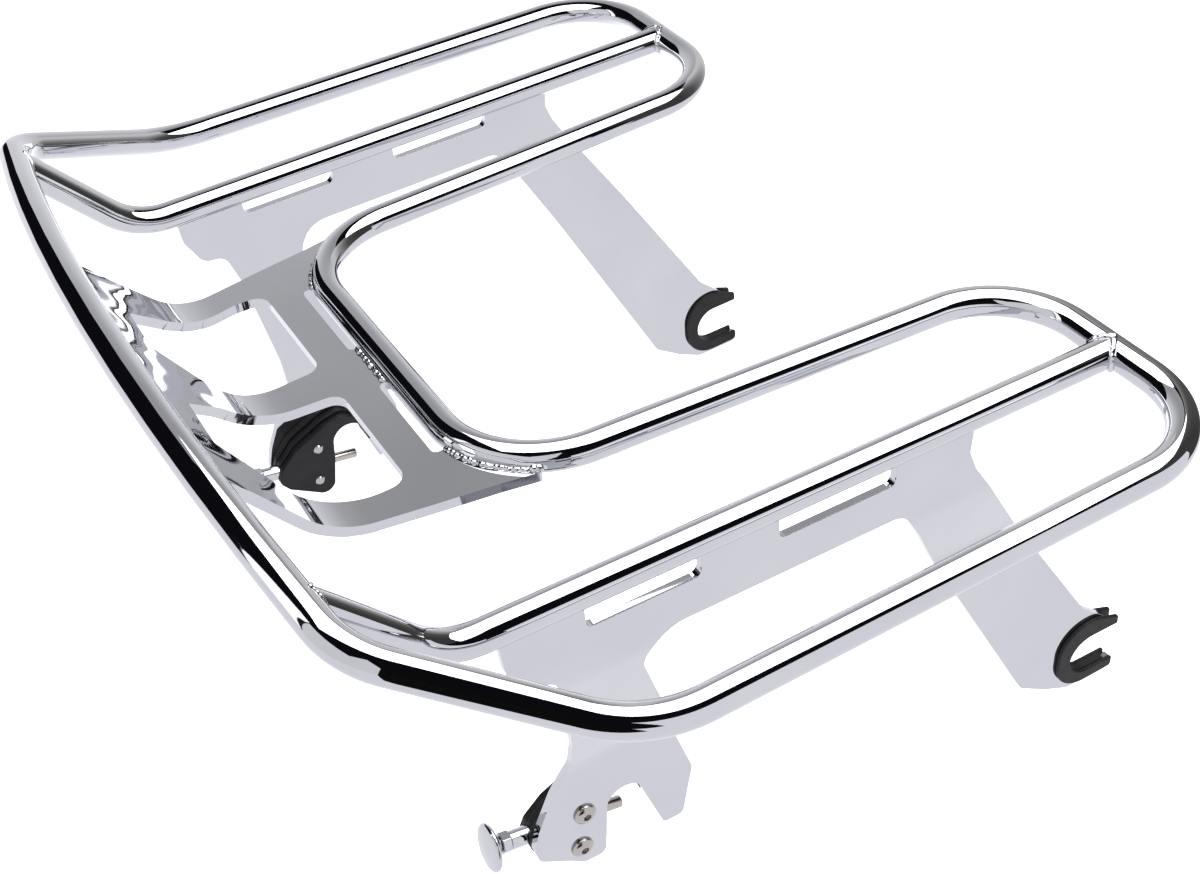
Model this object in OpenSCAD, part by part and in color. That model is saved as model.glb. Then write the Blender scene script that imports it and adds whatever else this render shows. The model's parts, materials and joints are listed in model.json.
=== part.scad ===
// Wraparound luggage rack: a bent tube frame that wraps round a seat, with a
// centre sheet at the back, two hanging side plates, rubber-lined hooks at the
// front and sprung latches at the back. X is forward, Y is left, Z is up, and
// the origin is the middle of the inner cross tube, on its centreline.

/* [Tubes] */
// Outside diameter of every tube
tube_d = 15.9; // [12.7:0.1:19.1]
// Distance from the inner cross tube to the front cross tubes
frame_len = 292.6; // [260:1:330]
// Distance of the outer side tubes from the centreline
side_y = 278.7; // [265:1:300]
// Distance of the inner side tubes from the centreline, at the cross tube
inner_y = 116.1; // [108:1:122]
// How far the inner side tubes spread towards the front
inner_spread = 16.2; // [0:0.5:24]
// Bend radius of the inner corners
inner_bend = 55.3; // [40:0.5:62]
// Bend radius of the front corners
front_bend = 50.2; // [36:0.5:60]
// Bend radius where the side tubes turn up to the rear bar
side_bend = 79.7; // [50:0.5:95]
// Bend radius of the rear bar's corners
rear_bend = 33.2; // [26:0.5:38]

/* [Rear bar] */
// Where the outer side tubes start to rise, behind the cross tube
kick_x = 16.7; // [5:0.5:30]
// Distance of the rear bar's corners behind the cross tube
corner_x = 113.5; // [105:0.5:122]
// Distance of the rear bar's corners from the centreline
corner_y = 226; // [218:1:236]
// Height of the rear bar's corners
corner_z = 55.9; // [48:0.5:62]
// How far the middle of the rear bar lies behind its corners
bar_bow = 16.7; // [10:0.5:20]
// How far the middle of the rear bar lies above its corners
bar_crown = 21.1; // [14:0.5:24]

/* [Middle rails] */
// Distance of the middle rails from the centreline, at the cross tube
rail_y = 197.8; // [188:0.5:206]
// How far the middle rails spread between the cross tube and the front
rail_spread = 5.9; // [0:0.1:9]
// Where the middle rails start to rise, behind the cross tube
rail_kick_x = 65.2; // [58:0.5:72]
// Bend radius of the middle rails
rail_bend = 43.4; // [30:0.5:50]

/* [Centre sheet] */
// Thickness of the centre sheet
sheet_t = 5.5; // [4:0.1:6.5]
// Depth of the sheet's top face below the plane of the tubes
sheet_drop = 1; // [0:0.1:2]
// Distance from the cross tube to the sheet's bend
sheet_flat = 54; // [50:0.5:58]
// Bend radius of the sheet's top face
sheet_bend = 40; // [32:0.5:46]
// Angle that the sheet's fingers rise at
sheet_rise = 50; // [46:0.5:54]
// Length of the sheet beyond its bend
sheet_slope = 75; // [72:0.5:78]
// Front edge of the sheet's two windows, behind the cross tube
window_front = 30; // [24:0.5:36]
// Half width of the middle bridge at the windows' front edge
bridge_half = 12; // [9:0.5:16]
// Half width of the sheet at the rear bar
sheet_half = 96; // [90:0.5:100]

/* [Side plates] */
// Thickness of the side plates
plate_t = 4.5; // [3.5:0.1:5]
// Distance of a side plate's outer face outboard of its rail's axis
plate_out = 5.5; // [4.5:0.1:6]
// Depth of the creases that both arms start at
crease_z = 46; // [43:0.5:49]
// How far the front arm steps inwards
arm_step = 12.5; // [8:0.5:16]
// Depth at which the front arm is upright again
arm_crease_z = 97; // [90:0.5:104]
// How far the rear leg steps inwards
leg_step = 25.3; // [20:0.5:30]
// Depth at which the rear leg is upright again
leg_crease_z = 135; // [130:0.5:138]

/* [Front hooks] */
// Distance of a hook's centre in front of the cross tube
hook_x = 317; // [312:0.5:322]
// Depth of a hook's centre
hook_z = 234; // [231:0.5:237]
// Radius of the opening inside the rubber
hook_r = 14; // [12:0.5:15]
// Wall of the rubber over the plate's edge
rubber_wall = 2.5; // [2:0.1:3]
// Radius of the rubber's flanges
flange_r = 24.8; // [23:0.1:26]
// Thickness of each rubber flange
flange_t = 2.5; // [1.5:0.1:3]

/* [Latches] */
// Distance of the notch's centre in front of the cross tube
notch_x = 20.5; // [19:0.5:22]
// Depth of the notch's centre
notch_z = 178; // [176.5:0.5:179.5]
// Radius of the notch in the rear leg
notch_r = 10.5; // [9.5:0.1:11]
// Thickness of the latch body
latch_t = 14.8; // [13:0.1:17]
// Diameter of the plunger's pin
pin_d = 6.4; // [5:0.1:6.6]
// Angle that the plunger rises at towards the rear
pin_tilt = 11; // [8:0.5:12]
// How far the plunger pulls back
pin_travel = 13.5; // [10:0.5:14]
// Diameter of the plunger's stem
stem_d = 4.4; // [3.6:0.1:5]
// Diameter of the plunger's knob
knob_d = 25; // [20:0.5:28]
// Diameter of the guide bush behind the latch body
bush_d = 10.5; // [9:0.1:11]
// Diameter of the latch screws
screw_d = 6.4; // [5:0.1:6.6]
// Diameter of the latch screws' heads
screw_head_d = 12; // [10:0.1:12.5]

/* [Hidden] */
$fn = 64;
arc_steps = 6;
bend_steps = 24;
seam_lap = 0.02;
overrun = 1;
tube_r = tube_d / 2;
running_gap = 0.3;
seat_gap = 0.05;

// Weld beads
bead_r = 2.3;
bead_pitch = 3.4;
bead_sides = 6;
bead_valley_share = 0.84;
saddle_steps = 32;

// Gap that the welder leaves at a rail's coped end, and how much of the bow's turn
// the rear cope is cut to
root_gap = 0.3;
cope_share = 1.1;

// The bow of the rear bar reaches past its middle to this corner share
bow_reach_share = 1.84;
bend_fn = 180;
bend_swell = 0.12;
bend_lap = 0.1;

// The sheet's shape, across from the centreline and back from the cross tube
wing_tip = [121, 24];
wing_tip_r = 1.5;
wing_turn = 60;
arc_turn = 15;
bridge_r = 8;
bend_cuts = 3;
sector_turn = 85;
bar_weld_share = 0.97;
wing_edge = [[117, 4, 6], [112, -28, 30], [106, -63, 60], [101, -92, 60], [97, -117, 30]];
window_outer = [[90, 0, 9], [91, 18, 40], [81, 52, 40], [60, 91, 3]];
window_inner = [[26, 91, 3], [11, 62, 50], [9.5, 42, 30]];
slot_back = 12.2;
slot_in = 17;
slot_out = 80;
slot_corner = 3;

// The side plate's shape, forward from the cross tube and down from the rails
web_rear = 43;
leg_foot = 211.5;
leg_rear = [[-web_rear, 3, 0], [-41.5, 22, 5], [-33, 39, 9], [-20, 40.5, 8], [-14, 60, 12], [-7, 114, 40],
            [-5, 139, 14], [-17, 158, 14], [-27, 178, 8], [-31.5, 190, 5], [-26, 195, 4],
            [-10, 205, 6], [-5, leg_foot, 4]];
notch_rear_foot = [9, 190, 3];
notch_front_foot = [41.5, leg_foot, 3];
leg_front = [[53, leg_foot, 4], [60, 178, 14], [52, 150, 30], [45, 119, 30], [24.5, 56, 9]];
cutout_rear_top = [37, 39.5, 14];
cutout_front_top = [167, 39.5, 12];
arm_rear = [[181, 64, 20], [269, 237, 6]];
arm_foot = [[288, 250, 20], [305, 258.5, 10]];
hook_lower_tip = [337.5, 258.5, 5];
hook_lower_inner = [337.5, 250, 2];
hook_upper_inner = [330, 218, 1];
hook_upper_tip = [329, 208.5, 3];
arm_front = [[309, 194, 8], [209, 31, 5], [204.4, 19, 6], [205.6, 3, 0]];
slot_depth = 17.5;
slot_rear = [-2, 56];
slot_front = [97, 161];
slot_r = 4;
flange_back = 4.2;
flange_up = 3.2;
grommet_front = 334;
crease_r = 9;
arm_split_x = 100;

// The latch body's shape, in the same coordinates
latch_rear = [[7.2, 186, 40], [3.5, 206, 6], [-3, 211, 7], [-14, 203.5, 12], [-26, 195.5, 5],
              [-32, 187.5, 6], [-28, 176, 8], [-17, 165, 9]];
latch_top = [[4, 154, 14], [18, 150.5, 10], [27.5, 158, 8], [31.5, 169, 10], [36.5, 182, 2],
             [31.5, 182, 1]];
latch_arch_r = 11;
latch_arch = [19.3, 175];

// Places along the plunger's axis, back from the pin's resting tip
pin_tip = [notch_x - notch_r + pin_travel * cos(pin_tilt), 194];
cavity_start = 22;
collar_len = 2;
bush_seat = 52;
bush_screwed_len = 6;
bush_len = 12.5;
hex_len = 5;
hex_af = 12;
neck_len = 3;
knob_len = 4.6;
pin_point = 0.8;
knob_round = 2.2;
knob_socket = 4.5;
neck_d = 8.5;
collar_d = 7.8;
cavity_d = 8.3;
spring_wire = 0.9;
spring_d = 6.3;
spring_turns = 6.5;
spring_sides = 6;
spring_steps = 14;

// Latch screws
screw_upper = [-2.6, 173];
screw_lower = [-6, 197.5];
screw_out = 1.2;
screw_head_h = 3.3;
screw_dome_r = 6.5;
screw_dome_share = 0.62;
screw_rim_h = 0.7;
socket_af = 4;
socket_depth = 2.1;

// Points on the frame
bar_corner = [-corner_x, corner_y, corner_z];
bar_apex = [-corner_x - bow_reach_share * bar_bow, 0, corner_z + bow_reach_share * bar_crown];
side_kick = [-kick_x, side_y, 0];
front_outer = [frame_len, side_y, 0];
front_inner = [frame_len, inner_y + inner_spread, 0];
base_corner = [0, inner_y, 0];
rail_slope = rail_spread / frame_len;
rail_turn = atan(rail_slope);
rail_front = [frame_len, rail_y + rail_spread, 0];
rail_kick = [-rail_kick_x, rail_y - rail_slope * rail_kick_x, 0];
bow_y = rail_kick.y;
bow_half_turn = atan(norm([bar_bow, bar_crown]) * bow_reach_share / corner_y);
bow_r = norm([bar_bow, bar_crown]) * (bow_reach_share - 1) / (1 / cos(bow_half_turn) - 1);
bow_sag_at_rail = bow_y * bow_y / (2 * bow_r);
bar_dir = [bar_bow, 0, -bar_crown] / norm([bar_bow, bar_crown]);
bar_middle = [-corner_x - bar_bow, 0, corner_z + bar_crown];
rail_end = bar_middle + bar_dir * bow_sag_at_rail + [0, bow_y, 0];

function unit(v) = v / norm(v);
function mirrored(p) = [p.x, -p.y, p.z];
function turn_at(a, b, c) = 180 - acos(unit(a - b) * unit(c - b));
function trim_at(a, b, c, r) = r * tan(turn_at(a, b, c) / 2);

// Rounds the corners of an outline given as [x, y, radius]
function arc_points(a, b, c, steps) =
    let (turn = turn_at([a.x, a.y], [b.x, b.y], [c.x, c.y]), u = unit([a.x - b.x, a.y - b.y]),
         w = unit([c.x - b.x, c.y - b.y]), r = b[2])
    r == 0 || turn < 1 ? [[b.x, b.y]] :
    let (centre = [b.x, b.y] + unit(u + w) * r / cos(turn / 2), start = [b.x, b.y] + u * r * tan(turn / 2) - centre,
         side = sign(start.x * -u.y - start.y * -u.x))
    [for (i = [0 : steps]) let (t = side * turn * i / steps)
        centre + [start.x * cos(t) - start.y * sin(t), start.x * sin(t) + start.y * cos(t)]];
function rounded(corners, steps = arc_steps) = let (n = len(corners))
    [for (i = [0 : n - 1]) each arc_points(corners[(i + n - 1) % n], corners[i], corners[(i + 1) % n], steps)];

// Places children with their Z axis along z and their X axis along x
module in_frame(x, z, at) {
    y = cross(z, x);
    multmatrix([[x.x, y.x, z.x, at.x], [x.y, y.y, z.y, at.y], [x.z, y.z, z.z, at.z]]) children();
}

// A straight tube between two points
module straight(a, b, r) {
    z = unit(b - a);
    x = unit(cross(abs(z.y) > abs(z.x) ? [1, 0, 0] : [0, 1, 0], z));
    in_frame(x, z, a) cylinder(h = norm(b - a), r = r);
}

// The bend of a tube at b, on its way from a to c, or the middle share of it
module bend(a, b, c, bend_r, r, kept_share = 1) {
    u = unit(a - b);
    turn = turn_at(a, b, c);
    centre = b + unit(u + unit(c - b)) * bend_r / cos(turn / 2);
    x = unit(b + u * trim_at(a, b, c, bend_r) - centre);
    in_frame(x, cross(x, -u), centre) rotate([0, 0, turn * (1 - kept_share) / 2])
        rotate_extrude(angle = turn * kept_share, $fn = bend_fn) translate([bend_r, 0]) circle(r = r);
}

// A run of tube through points, each with its bend radius, or a closed loop.
// The bends are a hair fuller than the straights, which reach a little into them.
module tube_run(points, radii, r, closed = false) {
    n = len(points);
    function at(i) = points[(i + n) % n];
    function bent(i) = radii[(i + n) % n] > 0;
    function trim(i) = bent(i) ? trim_at(at(i - 1), at(i), at(i + 1), radii[i % n]) - bend_lap : 0;
    for (i = [0 : closed ? n - 1 : n - 2]) {
        way = unit(at(i + 1) - at(i));
        straight(at(i) + way * trim(i), at(i + 1) - way * trim(i + 1), r);
    }
    for (i = [0 : n - 1]) if (bent(i)) bend(at(i - 1), at(i), at(i + 1), radii[i], r + bend_swell);
}

module rear_bow(r, kept_share = 1) {
    bend(bar_corner, bar_apex, mirrored(bar_corner), bow_r, r, kept_share);
}

module loop(r) {
    half = [base_corner, front_inner, front_outer, side_kick, bar_corner];
    half_radii = [inner_bend, front_bend, front_bend, side_bend, rear_bend];
    tube_run(
        concat(half, [bar_apex], [for (i = [4 : -1 : 0]) mirrored(half[i])]),
        concat(half_radii, [bow_r], [for (i = [4 : -1 : 0]) half_radii[i]]), r, true);
}

module rail_run(r) {
    tube_run([rail_front, rail_kick, rail_end], [0, rail_bend, 0], r);
}

// Frames that the sub-parts are placed in
module on_side(side) {
    if (side == "left") children();
    else mirror([0, 1, 0]) children();
}
module along_rail() {
    translate([0, rail_y, 0]) rotate([0, 0, rail_turn]) children();
}
// Turns an outline given forward and down into a slab that faces outboard
module slab(from_y, to_y) {
    translate([0, to_y, 0]) rotate([90, 0, 0]) linear_extrude(to_y - from_y) mirror([0, 1, 0]) children();
}
// The plunger's axis, with its own Z running back from the pin's tip
module on_plunger() {
    translate([pin_tip.x, latch_mid_y, -pin_tip.y]) rotate([0, pin_tilt - 90, 0]) children();
}

knob_start = bush_seat + bush_len + hex_len + running_gap;
leg_out = plate_out - leg_step;
leg_in = leg_out - plate_t;
latch_mid_y = leg_in - latch_t / 2;
arm_out = plate_out - arm_step;

module perimeter_tube() {
    color("silver") loop(tube_r);
}

module middle_rail(side) {
    color("silver") on_side(side) difference() {
        rail_run(tube_r);
        straight(front_inner, front_outer, tube_r + root_gap);
        rear_bow(tube_r + bend_swell + root_gap, cope_share);
    }
}

// Half of the sheet's flat outline, across in X and forward in Y
module sheet_half_outline() {
    arc_y = inner_y - trim_at([0, 0, 0], base_corner, front_inner, inner_bend);
    sheet_end = sheet_flat + 2 * sheet_slope;
    difference() {
        polygon(concat(
            [[-overrun, -sheet_end], [-overrun, 0]],
            [for (a = [0 : arc_turn : wing_turn]) [arc_y + inner_bend * sin(a), inner_bend * (1 - cos(a))]],
            rounded(concat([[wing_tip.x - tube_r, wing_tip.y + overrun, 0], [wing_tip.x, wing_tip.y, wing_tip_r]],
                wing_edge, [[sheet_half, -sheet_end, 0]]))));
        polygon(rounded(concat([[bridge_half, -window_front, bridge_r]],
            [for (p = window_outer) [p.x, -window_front - p.y, p[2]]],
            [for (p = window_inner) [p.x, -window_front - p.y, p[2]]])));
        polygon(rounded([[slot_in, 0, 0], [slot_in, -slot_back, slot_corner],
            [slot_out, -slot_back, slot_corner], [slot_out, 0, 0]]));
    }
}
module sheet_outline() {
    sheet_half_outline();
    mirror([1, 0]) sheet_half_outline();
}

// What a cutter over the flat sheet removes, with the start of a stretch at the origin
module sheet_cutter(start) {
    half_w = inner_y + 2 * tube_d;
    rotate([0, 0, -90]) translate([0, 0, -2 * sheet_t]) linear_extrude(3 * sheet_t) translate([0, start]) difference() {
        translate([-half_w, -2 * (sheet_flat + sheet_slope)]) square([2 * half_w, 4 * (sheet_flat + sheet_slope)]);
        sheet_outline();
    }
}
// The part of the sheet's cutters between two angles of its bend
module bend_sector(from, to) {
    half_w = inner_y + 2 * tube_d;
    reach = 4 * (sheet_flat + sheet_slope);
    rotate([90, 0, 0]) translate([0, 0, -half_w]) linear_extrude(2 * half_w)
        polygon([[0, 0], [-reach * sin(from), -reach * cos(from)], [-reach * sin(to), -reach * cos(to)]]);
}

// The sheet, bent before its outline is cut, so that it stays one smooth strip
module bent_sheet() {
    half_w = inner_y + tube_d;
    step = sheet_rise / bend_cuts;
    arc = sheet_bend * step * PI / 180;
    knee = sheet_bend * tan(sheet_rise / 2);
    under_knee = (sheet_bend + sheet_t) * tan(sheet_rise / 2);
    far = sheet_slope + knee;
    front = wing_tip.y + tube_d;
    back = -sheet_flat - knee;
    under_back = -sheet_flat - under_knee;
    translate([0, 0, -sheet_drop]) difference() {
        rotate([90, 0, 0]) translate([0, 0, -half_w]) linear_extrude(2 * half_w) polygon(rounded([
            [front, 0, 0], [back, 0, sheet_bend], [back - far * cos(sheet_rise), far * sin(sheet_rise), 0],
            [under_back - (sheet_slope + under_knee) * cos(sheet_rise),
             (sheet_slope + under_knee) * sin(sheet_rise) - sheet_t, 0],
            [under_back, -sheet_t, sheet_bend + sheet_t], [front, -sheet_t, 0]], bend_steps));
        translate([-sheet_flat, 0, sheet_bend]) {
            intersection() {
                translate([sheet_flat, 0, -sheet_bend]) sheet_cutter(0);
                bend_sector(-sector_turn, seam_lap);
            }
            for (i = [0 : bend_cuts - 1]) intersection() {
                rotate([0, (i + 0.5) * step, 0]) translate([0, 0, -sheet_bend])
                    sheet_cutter(sheet_flat + (i + 0.5) * arc);
                bend_sector(i * step - seam_lap, (i + 1) * step + seam_lap);
            }
            intersection() {
                rotate([0, sheet_rise, 0]) translate([0, 0, -sheet_bend]) sheet_cutter(sheet_flat + bend_cuts * arc);
                bend_sector(sheet_rise - seam_lap, sheet_rise + sector_turn);
            }
        }
    }
}

module centre_plate() {
    color("gainsboro") difference() {
        bent_sheet();
        loop(tube_r);
    }
}

module side_outline() {
    difference() {
        polygon(rounded(concat(leg_rear, [[notch_rear_foot.x, leg_foot, slot_r], notch_rear_foot],
            [[notch_x - notch_r, notch_z, 0], [notch_x + notch_r, notch_z, 0]], [notch_front_foot],
            leg_front, [cutout_rear_top, cutout_front_top], arm_rear, arm_foot,
            [hook_lower_tip, hook_lower_inner, hook_upper_inner, hook_upper_tip], arm_front)));
        translate([notch_x, notch_z]) circle(r = notch_r);
        plate_mouth(hook_r + rubber_wall);
        for (slot = [slot_rear, slot_front]) polygon(rounded([[slot[0], 0, 0], [slot[1], 0, 0],
            [slot[1], slot_depth, slot_r], [slot[0], slot_depth, slot_r]]));
    }
}
// A hook's mouth, open to the front
module plate_mouth(r) {
    translate([hook_x, hook_z]) {
        circle(r = r);
        translate([0, -r]) square([4 * hook_r, 2 * r]);
    }
}

// The section of a bent arm across the rack, inboard step at its lower end
module arm_section(step, upper, lower, foot) {
    polygon(rounded([[0, 0, 0], [0, upper, crease_r], [-step, lower, crease_r], [-step, foot, 0],
        [-step - plate_t, foot, 0], [-step - plate_t, lower, crease_r + plate_t],
        [-plate_t, upper, crease_r], [-plate_t, 0, 0]]));
}
module arm_slab(step, lower, from_x, to_x) {
    translate([from_x, plate_out, 0]) rotate([90, 0, 90]) linear_extrude(to_x - from_x) mirror([0, 1, 0])
        arm_section(step, crease_z, lower, hook_z + 2 * flange_r);
}

module side_plate(side) {
    color("lavender") on_side(side) difference() {
        along_rail() difference() {
            intersection() {
                slab(-leg_step - plate_t - overrun, plate_out + overrun) side_outline();
                union() {
                    arm_slab(leg_step, leg_crease_z, -2 * web_rear, arm_split_x);
                    arm_slab(arm_step, arm_crease_z, arm_split_x, hook_x + 2 * flange_r);
                }
            }
            for (at = [screw_upper, screw_lower])
                slab(leg_in - overrun, leg_out + overrun) translate(at) circle(d = screw_d + 2 * running_gap);
        }
        rail_run(tube_r);
    }
}

// Walls and ends of a swept tube whose rings have this many sides
function ring_walls(rings, sides) = [for (i = [0 : rings - 2], j = [0 : sides - 1])
    let (a = i * sides + j, b = i * sides + (j + 1) % sides)
    each [[a, b, b + sides], [a, b + sides, a + sides]]];
function ring_ends(rings, sides) = [[for (j = [sides - 1 : -1 : 0]) j],
    [for (j = [0 : sides - 1]) (rings - 1) * sides + j]];

// A weld bead through points: a rippled tube that sinks into both pieces. The
// facing direction is one that the bead never runs along.
module bead(points, facing, closed = false) {
    n = len(points);
    function at(i) = closed ? points[(i + n) % n] : points[max(0, min(n - 1, i))];
    rings = closed ? n + 1 : n;
    corners = [for (i = [0 : rings - 1], j = [0 : bead_sides - 1])
        let (way = unit(at(i + 1) - at(i - 1)), u = unit(cross(way, facing)), w = cross(u, way),
             tip = 360 * j / bead_sides, r = bead_r * (i % 2 == 0 ? 1 : bead_valley_share))
        at(i) + r * (u * cos(tip) + w * sin(tip))];
    if (closed) {
        ring_count = n * bead_sides;
        polyhedron([for (i = [0 : ring_count - 1]) corners[i]],
            [for (f = ring_walls(rings, bead_sides)) [for (k = f) k % ring_count]]);
    }
    else polyhedron(corners, concat(ring_walls(rings, bead_sides), ring_ends(rings, bead_sides)));
}
// Ripple places along a straight line, an even number of steps
function spaced(a, b) = let (n = 2 * ceil(norm(b - a) / bead_pitch)) [for (i = [0 : n]) a + (b - a) * i / n];
// Round the end of a tube that meets another tube of its own size
function saddle(end, way, across) = let (up = unit(cross(across, way)), out = cross(way, up))
    [for (i = [0 : saddle_steps - 1])
        let (turn = 360 * i / saddle_steps, q = tube_r * (up * cos(turn) + out * sin(turn)), k = q * across)
        end + q + way * (k > 0 ? k / (1 - way * across) : -k / (1 + way * across))];

// Beads in the corner between the cross tube and the sheet's top face
module cross_tube_welds() {
    reach = sqrt(tube_r * tube_r - sheet_drop * sheet_drop);
    centre = [inner_bend, inner_y - trim_at([0, 0, 0], base_corner, front_inner, inner_bend), -sheet_drop];
    r = inner_bend + reach;
    start = asin((slot_out - centre.y) / r);
    steps = 2 * ceil((wing_turn - start) * PI / 180 * r / bead_pitch);
    color("silver") {
        bead(spaced([-reach, -slot_in, -sheet_drop], [-reach, slot_in, -sheet_drop]), [0, 0, 1]);
        for (side = ["left", "right"]) on_side(side)
            bead([for (i = [0 : steps]) let (a = start + (wing_turn - start) * i / steps)
                centre + r * [-cos(a), sin(a), 0]], [0, 0, 1]);
    }
}

// A bead in the corner between the rear bar and the sheet's top face
module rear_bar_welds() {
    from_bend = bar_middle - [-sheet_flat - sheet_bend * sin(sheet_rise), 0,
        sheet_bend * (1 - cos(sheet_rise)) - sheet_drop];
    normal = [sin(sheet_rise), 0, cos(sheet_rise)];
    down = [cos(sheet_rise), 0, -sin(sheet_rise)];
    above = from_bend * normal;
    corner = bar_middle + down * sqrt(tube_r * tube_r - above * above) - normal * above;
    half = sheet_half * bar_weld_share;
    steps = 2 * ceil(half / bead_pitch);
    color("silver") bead([for (i = [-steps : steps]) let (y = half * i / steps)
        corner + [0, y, 0] + bar_dir * y * y / (2 * bow_r)], normal);
}

// Beads round the front ends of the middle rails
module rail_front_welds() {
    color("silver") for (side = ["left", "right"]) on_side(side)
        bead(saddle(rail_front, unit(rail_kick - rail_front), [0, 1, 0]), unit(rail_kick - rail_front), true);
}

// Beads round the rear ends of the middle rails
module rail_rear_welds() {
    across = unit([bow_y / bow_r * bar_dir.x, 1, bow_y / bow_r * bar_dir.z]);
    color("silver") for (side = ["left", "right"]) on_side(side)
        bead(saddle(rail_end, unit(rail_kick - rail_end), across), unit(rail_kick - rail_end), true);
}

// Beads between a side plate's tabs and its rail, on the plate's inner face
module side_plate_welds(side) {
    inner = plate_out - plate_t;
    under = sqrt(tube_r * tube_r - inner * inner);
    color("silver") on_side(side) along_rail()
        for (tab = [[-web_rear, slot_rear[0]], [slot_rear[1], slot_front[0]], [slot_front[1], arm_front[3].x]])
            bead(spaced([tab[0], inner, -under], [tab[1], inner, -under]), [0, 0, 1]);
}

// Rubber channel that lines a front hook and laps over both faces of the plate
module hook_grommet(side) {
    color("dimgray") on_side(side) along_rail() {
        difference() {
            slab(arm_out - plate_t - flange_t, arm_out + flange_t) difference() {
                intersection() {
                    translate([hook_x - flange_back, hook_z - flange_up]) circle(r = flange_r);
                    translate([0, 0]) square([grommet_front, 2 * hook_z]);
                }
                plate_mouth(hook_r);
            }
            slab(arm_out - plate_t, arm_out) difference() {
                square([2 * hook_x, 2 * hook_z]);
                plate_mouth(hook_r + rubber_wall);
            }
        }
    }
}

module latch_body(side) {
    color("darkslategray") on_side(side) along_rail() difference() {
        slab(leg_in - latch_t, leg_in) difference() {
            polygon(rounded(concat(latch_rear, latch_top, [[latch_arch.x + latch_arch_r, latch_arch.y, 0],
                [latch_arch.x - latch_arch_r, latch_arch.y, 0]])));
            translate(latch_arch) circle(r = latch_arch_r);
        }
        on_plunger() {
            cylinder(h = cavity_start + overrun, d = pin_d + 2 * running_gap);
            translate([0, 0, cavity_start]) cylinder(h = bush_seat, d = cavity_d);
            translate([0, 0, bush_seat]) cylinder(h = bush_len, d = bush_d + 4 * seat_gap);
        }
        for (at = [screw_upper, screw_lower])
            slab(leg_in - latch_t - overrun, leg_in + overrun) translate(at) circle(d = screw_d + 2 * seat_gap);
    }
}

// Button-head screw through the rear leg into the latch body
module latch_screw(side, at) {
    head_r = screw_head_d / 2;
    length = plate_t + latch_t + screw_out;
    color("slategray") on_side(side) along_rail() translate([at.x, leg_out, -at.y]) rotate([-90, 0, 0]) difference() {
        rotate_extrude() polygon(rounded([[0, -length, 0], [screw_d / 2 - pin_point, -length, 0],
            [screw_d / 2, pin_point - length, 0], [screw_d / 2, 0, 0], [head_r, 0, 0], [head_r, screw_rim_h, 0],
            [head_r * screw_dome_share, screw_head_h, screw_dome_r], [0, screw_head_h, 0]]));
        translate([0, 0, screw_head_h - socket_depth])
            cylinder(h = socket_depth + overrun, d = socket_af / cos(30), $fn = 6);
    }
}

// Guide bush: screwed spigot, plain barrel and hex collar
module plunger_bush(side) {
    color("silver") on_side(side) along_rail() on_plunger() difference() {
        union() {
            translate([0, 0, bush_seat - bush_screwed_len]) cylinder(h = bush_screwed_len + overrun, d = cavity_d - 2 * seat_gap);
            translate([0, 0, bush_seat]) cylinder(h = bush_len, d = bush_d);
            translate([0, 0, bush_seat + bush_len]) cylinder(h = hex_len, d = hex_af / cos(30), $fn = 6);
        }
        translate([0, 0, bush_seat - bush_screwed_len - overrun])
            cylinder(h = bush_screwed_len + bush_len + hex_len + 2 * overrun, d = stem_d + 2 * running_gap);
    }
}

// Locking pin with its collar and stem
module plunger_pin(side) {
    collar = cavity_start + running_gap;
    end = knob_start + knob_socket;
    color("slategray") on_side(side) along_rail() on_plunger() rotate_extrude() polygon([
        [0, 0], [pin_d / 2 - pin_point, 0], [pin_d / 2, pin_point], [pin_d / 2, collar], [collar_d / 2, collar],
        [collar_d / 2, collar + collar_len], [stem_d / 2, collar + collar_len], [stem_d / 2, end], [0, end]]);
}

module plunger_knob(side) {
    color("silver") on_side(side) along_rail() on_plunger() translate([0, 0, knob_start]) difference() {
        rotate_extrude() polygon(rounded([[0, 0, 0], [neck_d / 2, 0, 0], [neck_d / 2, neck_len, 1],
            [knob_d / 2, neck_len, knob_round], [knob_d / 2, neck_len + knob_len, knob_round],
            [0, neck_len + knob_len, 0]]));
        translate([0, 0, -overrun]) cylinder(h = knob_socket + overrun + seat_gap, d = stem_d + 2 * seat_gap);
    }
}

// Compression spring between the pin's collar and the bush
module plunger_spring(side) {
    start = cavity_start + running_gap + collar_len + running_gap + spring_wire / 2;
    end = bush_seat - bush_screwed_len - running_gap - spring_wire / 2;
    rings = round(spring_turns * spring_steps);
    points = [for (i = [0 : rings], j = [0 : spring_sides - 1])
        let (turn = 360 * spring_turns * i / rings, tip = 360 * j / spring_sides,
             out = spring_d / 2 + spring_wire / 2 * cos(tip))
        [out * cos(turn), out * sin(turn), start + (end - start) * i / rings + spring_wire / 2 * sin(tip)]];
    color("slategray") on_side(side) along_rail() on_plunger() polyhedron(points,
        concat(ring_walls(rings + 1, spring_sides), ring_ends(rings + 1, spring_sides)));
}

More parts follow.
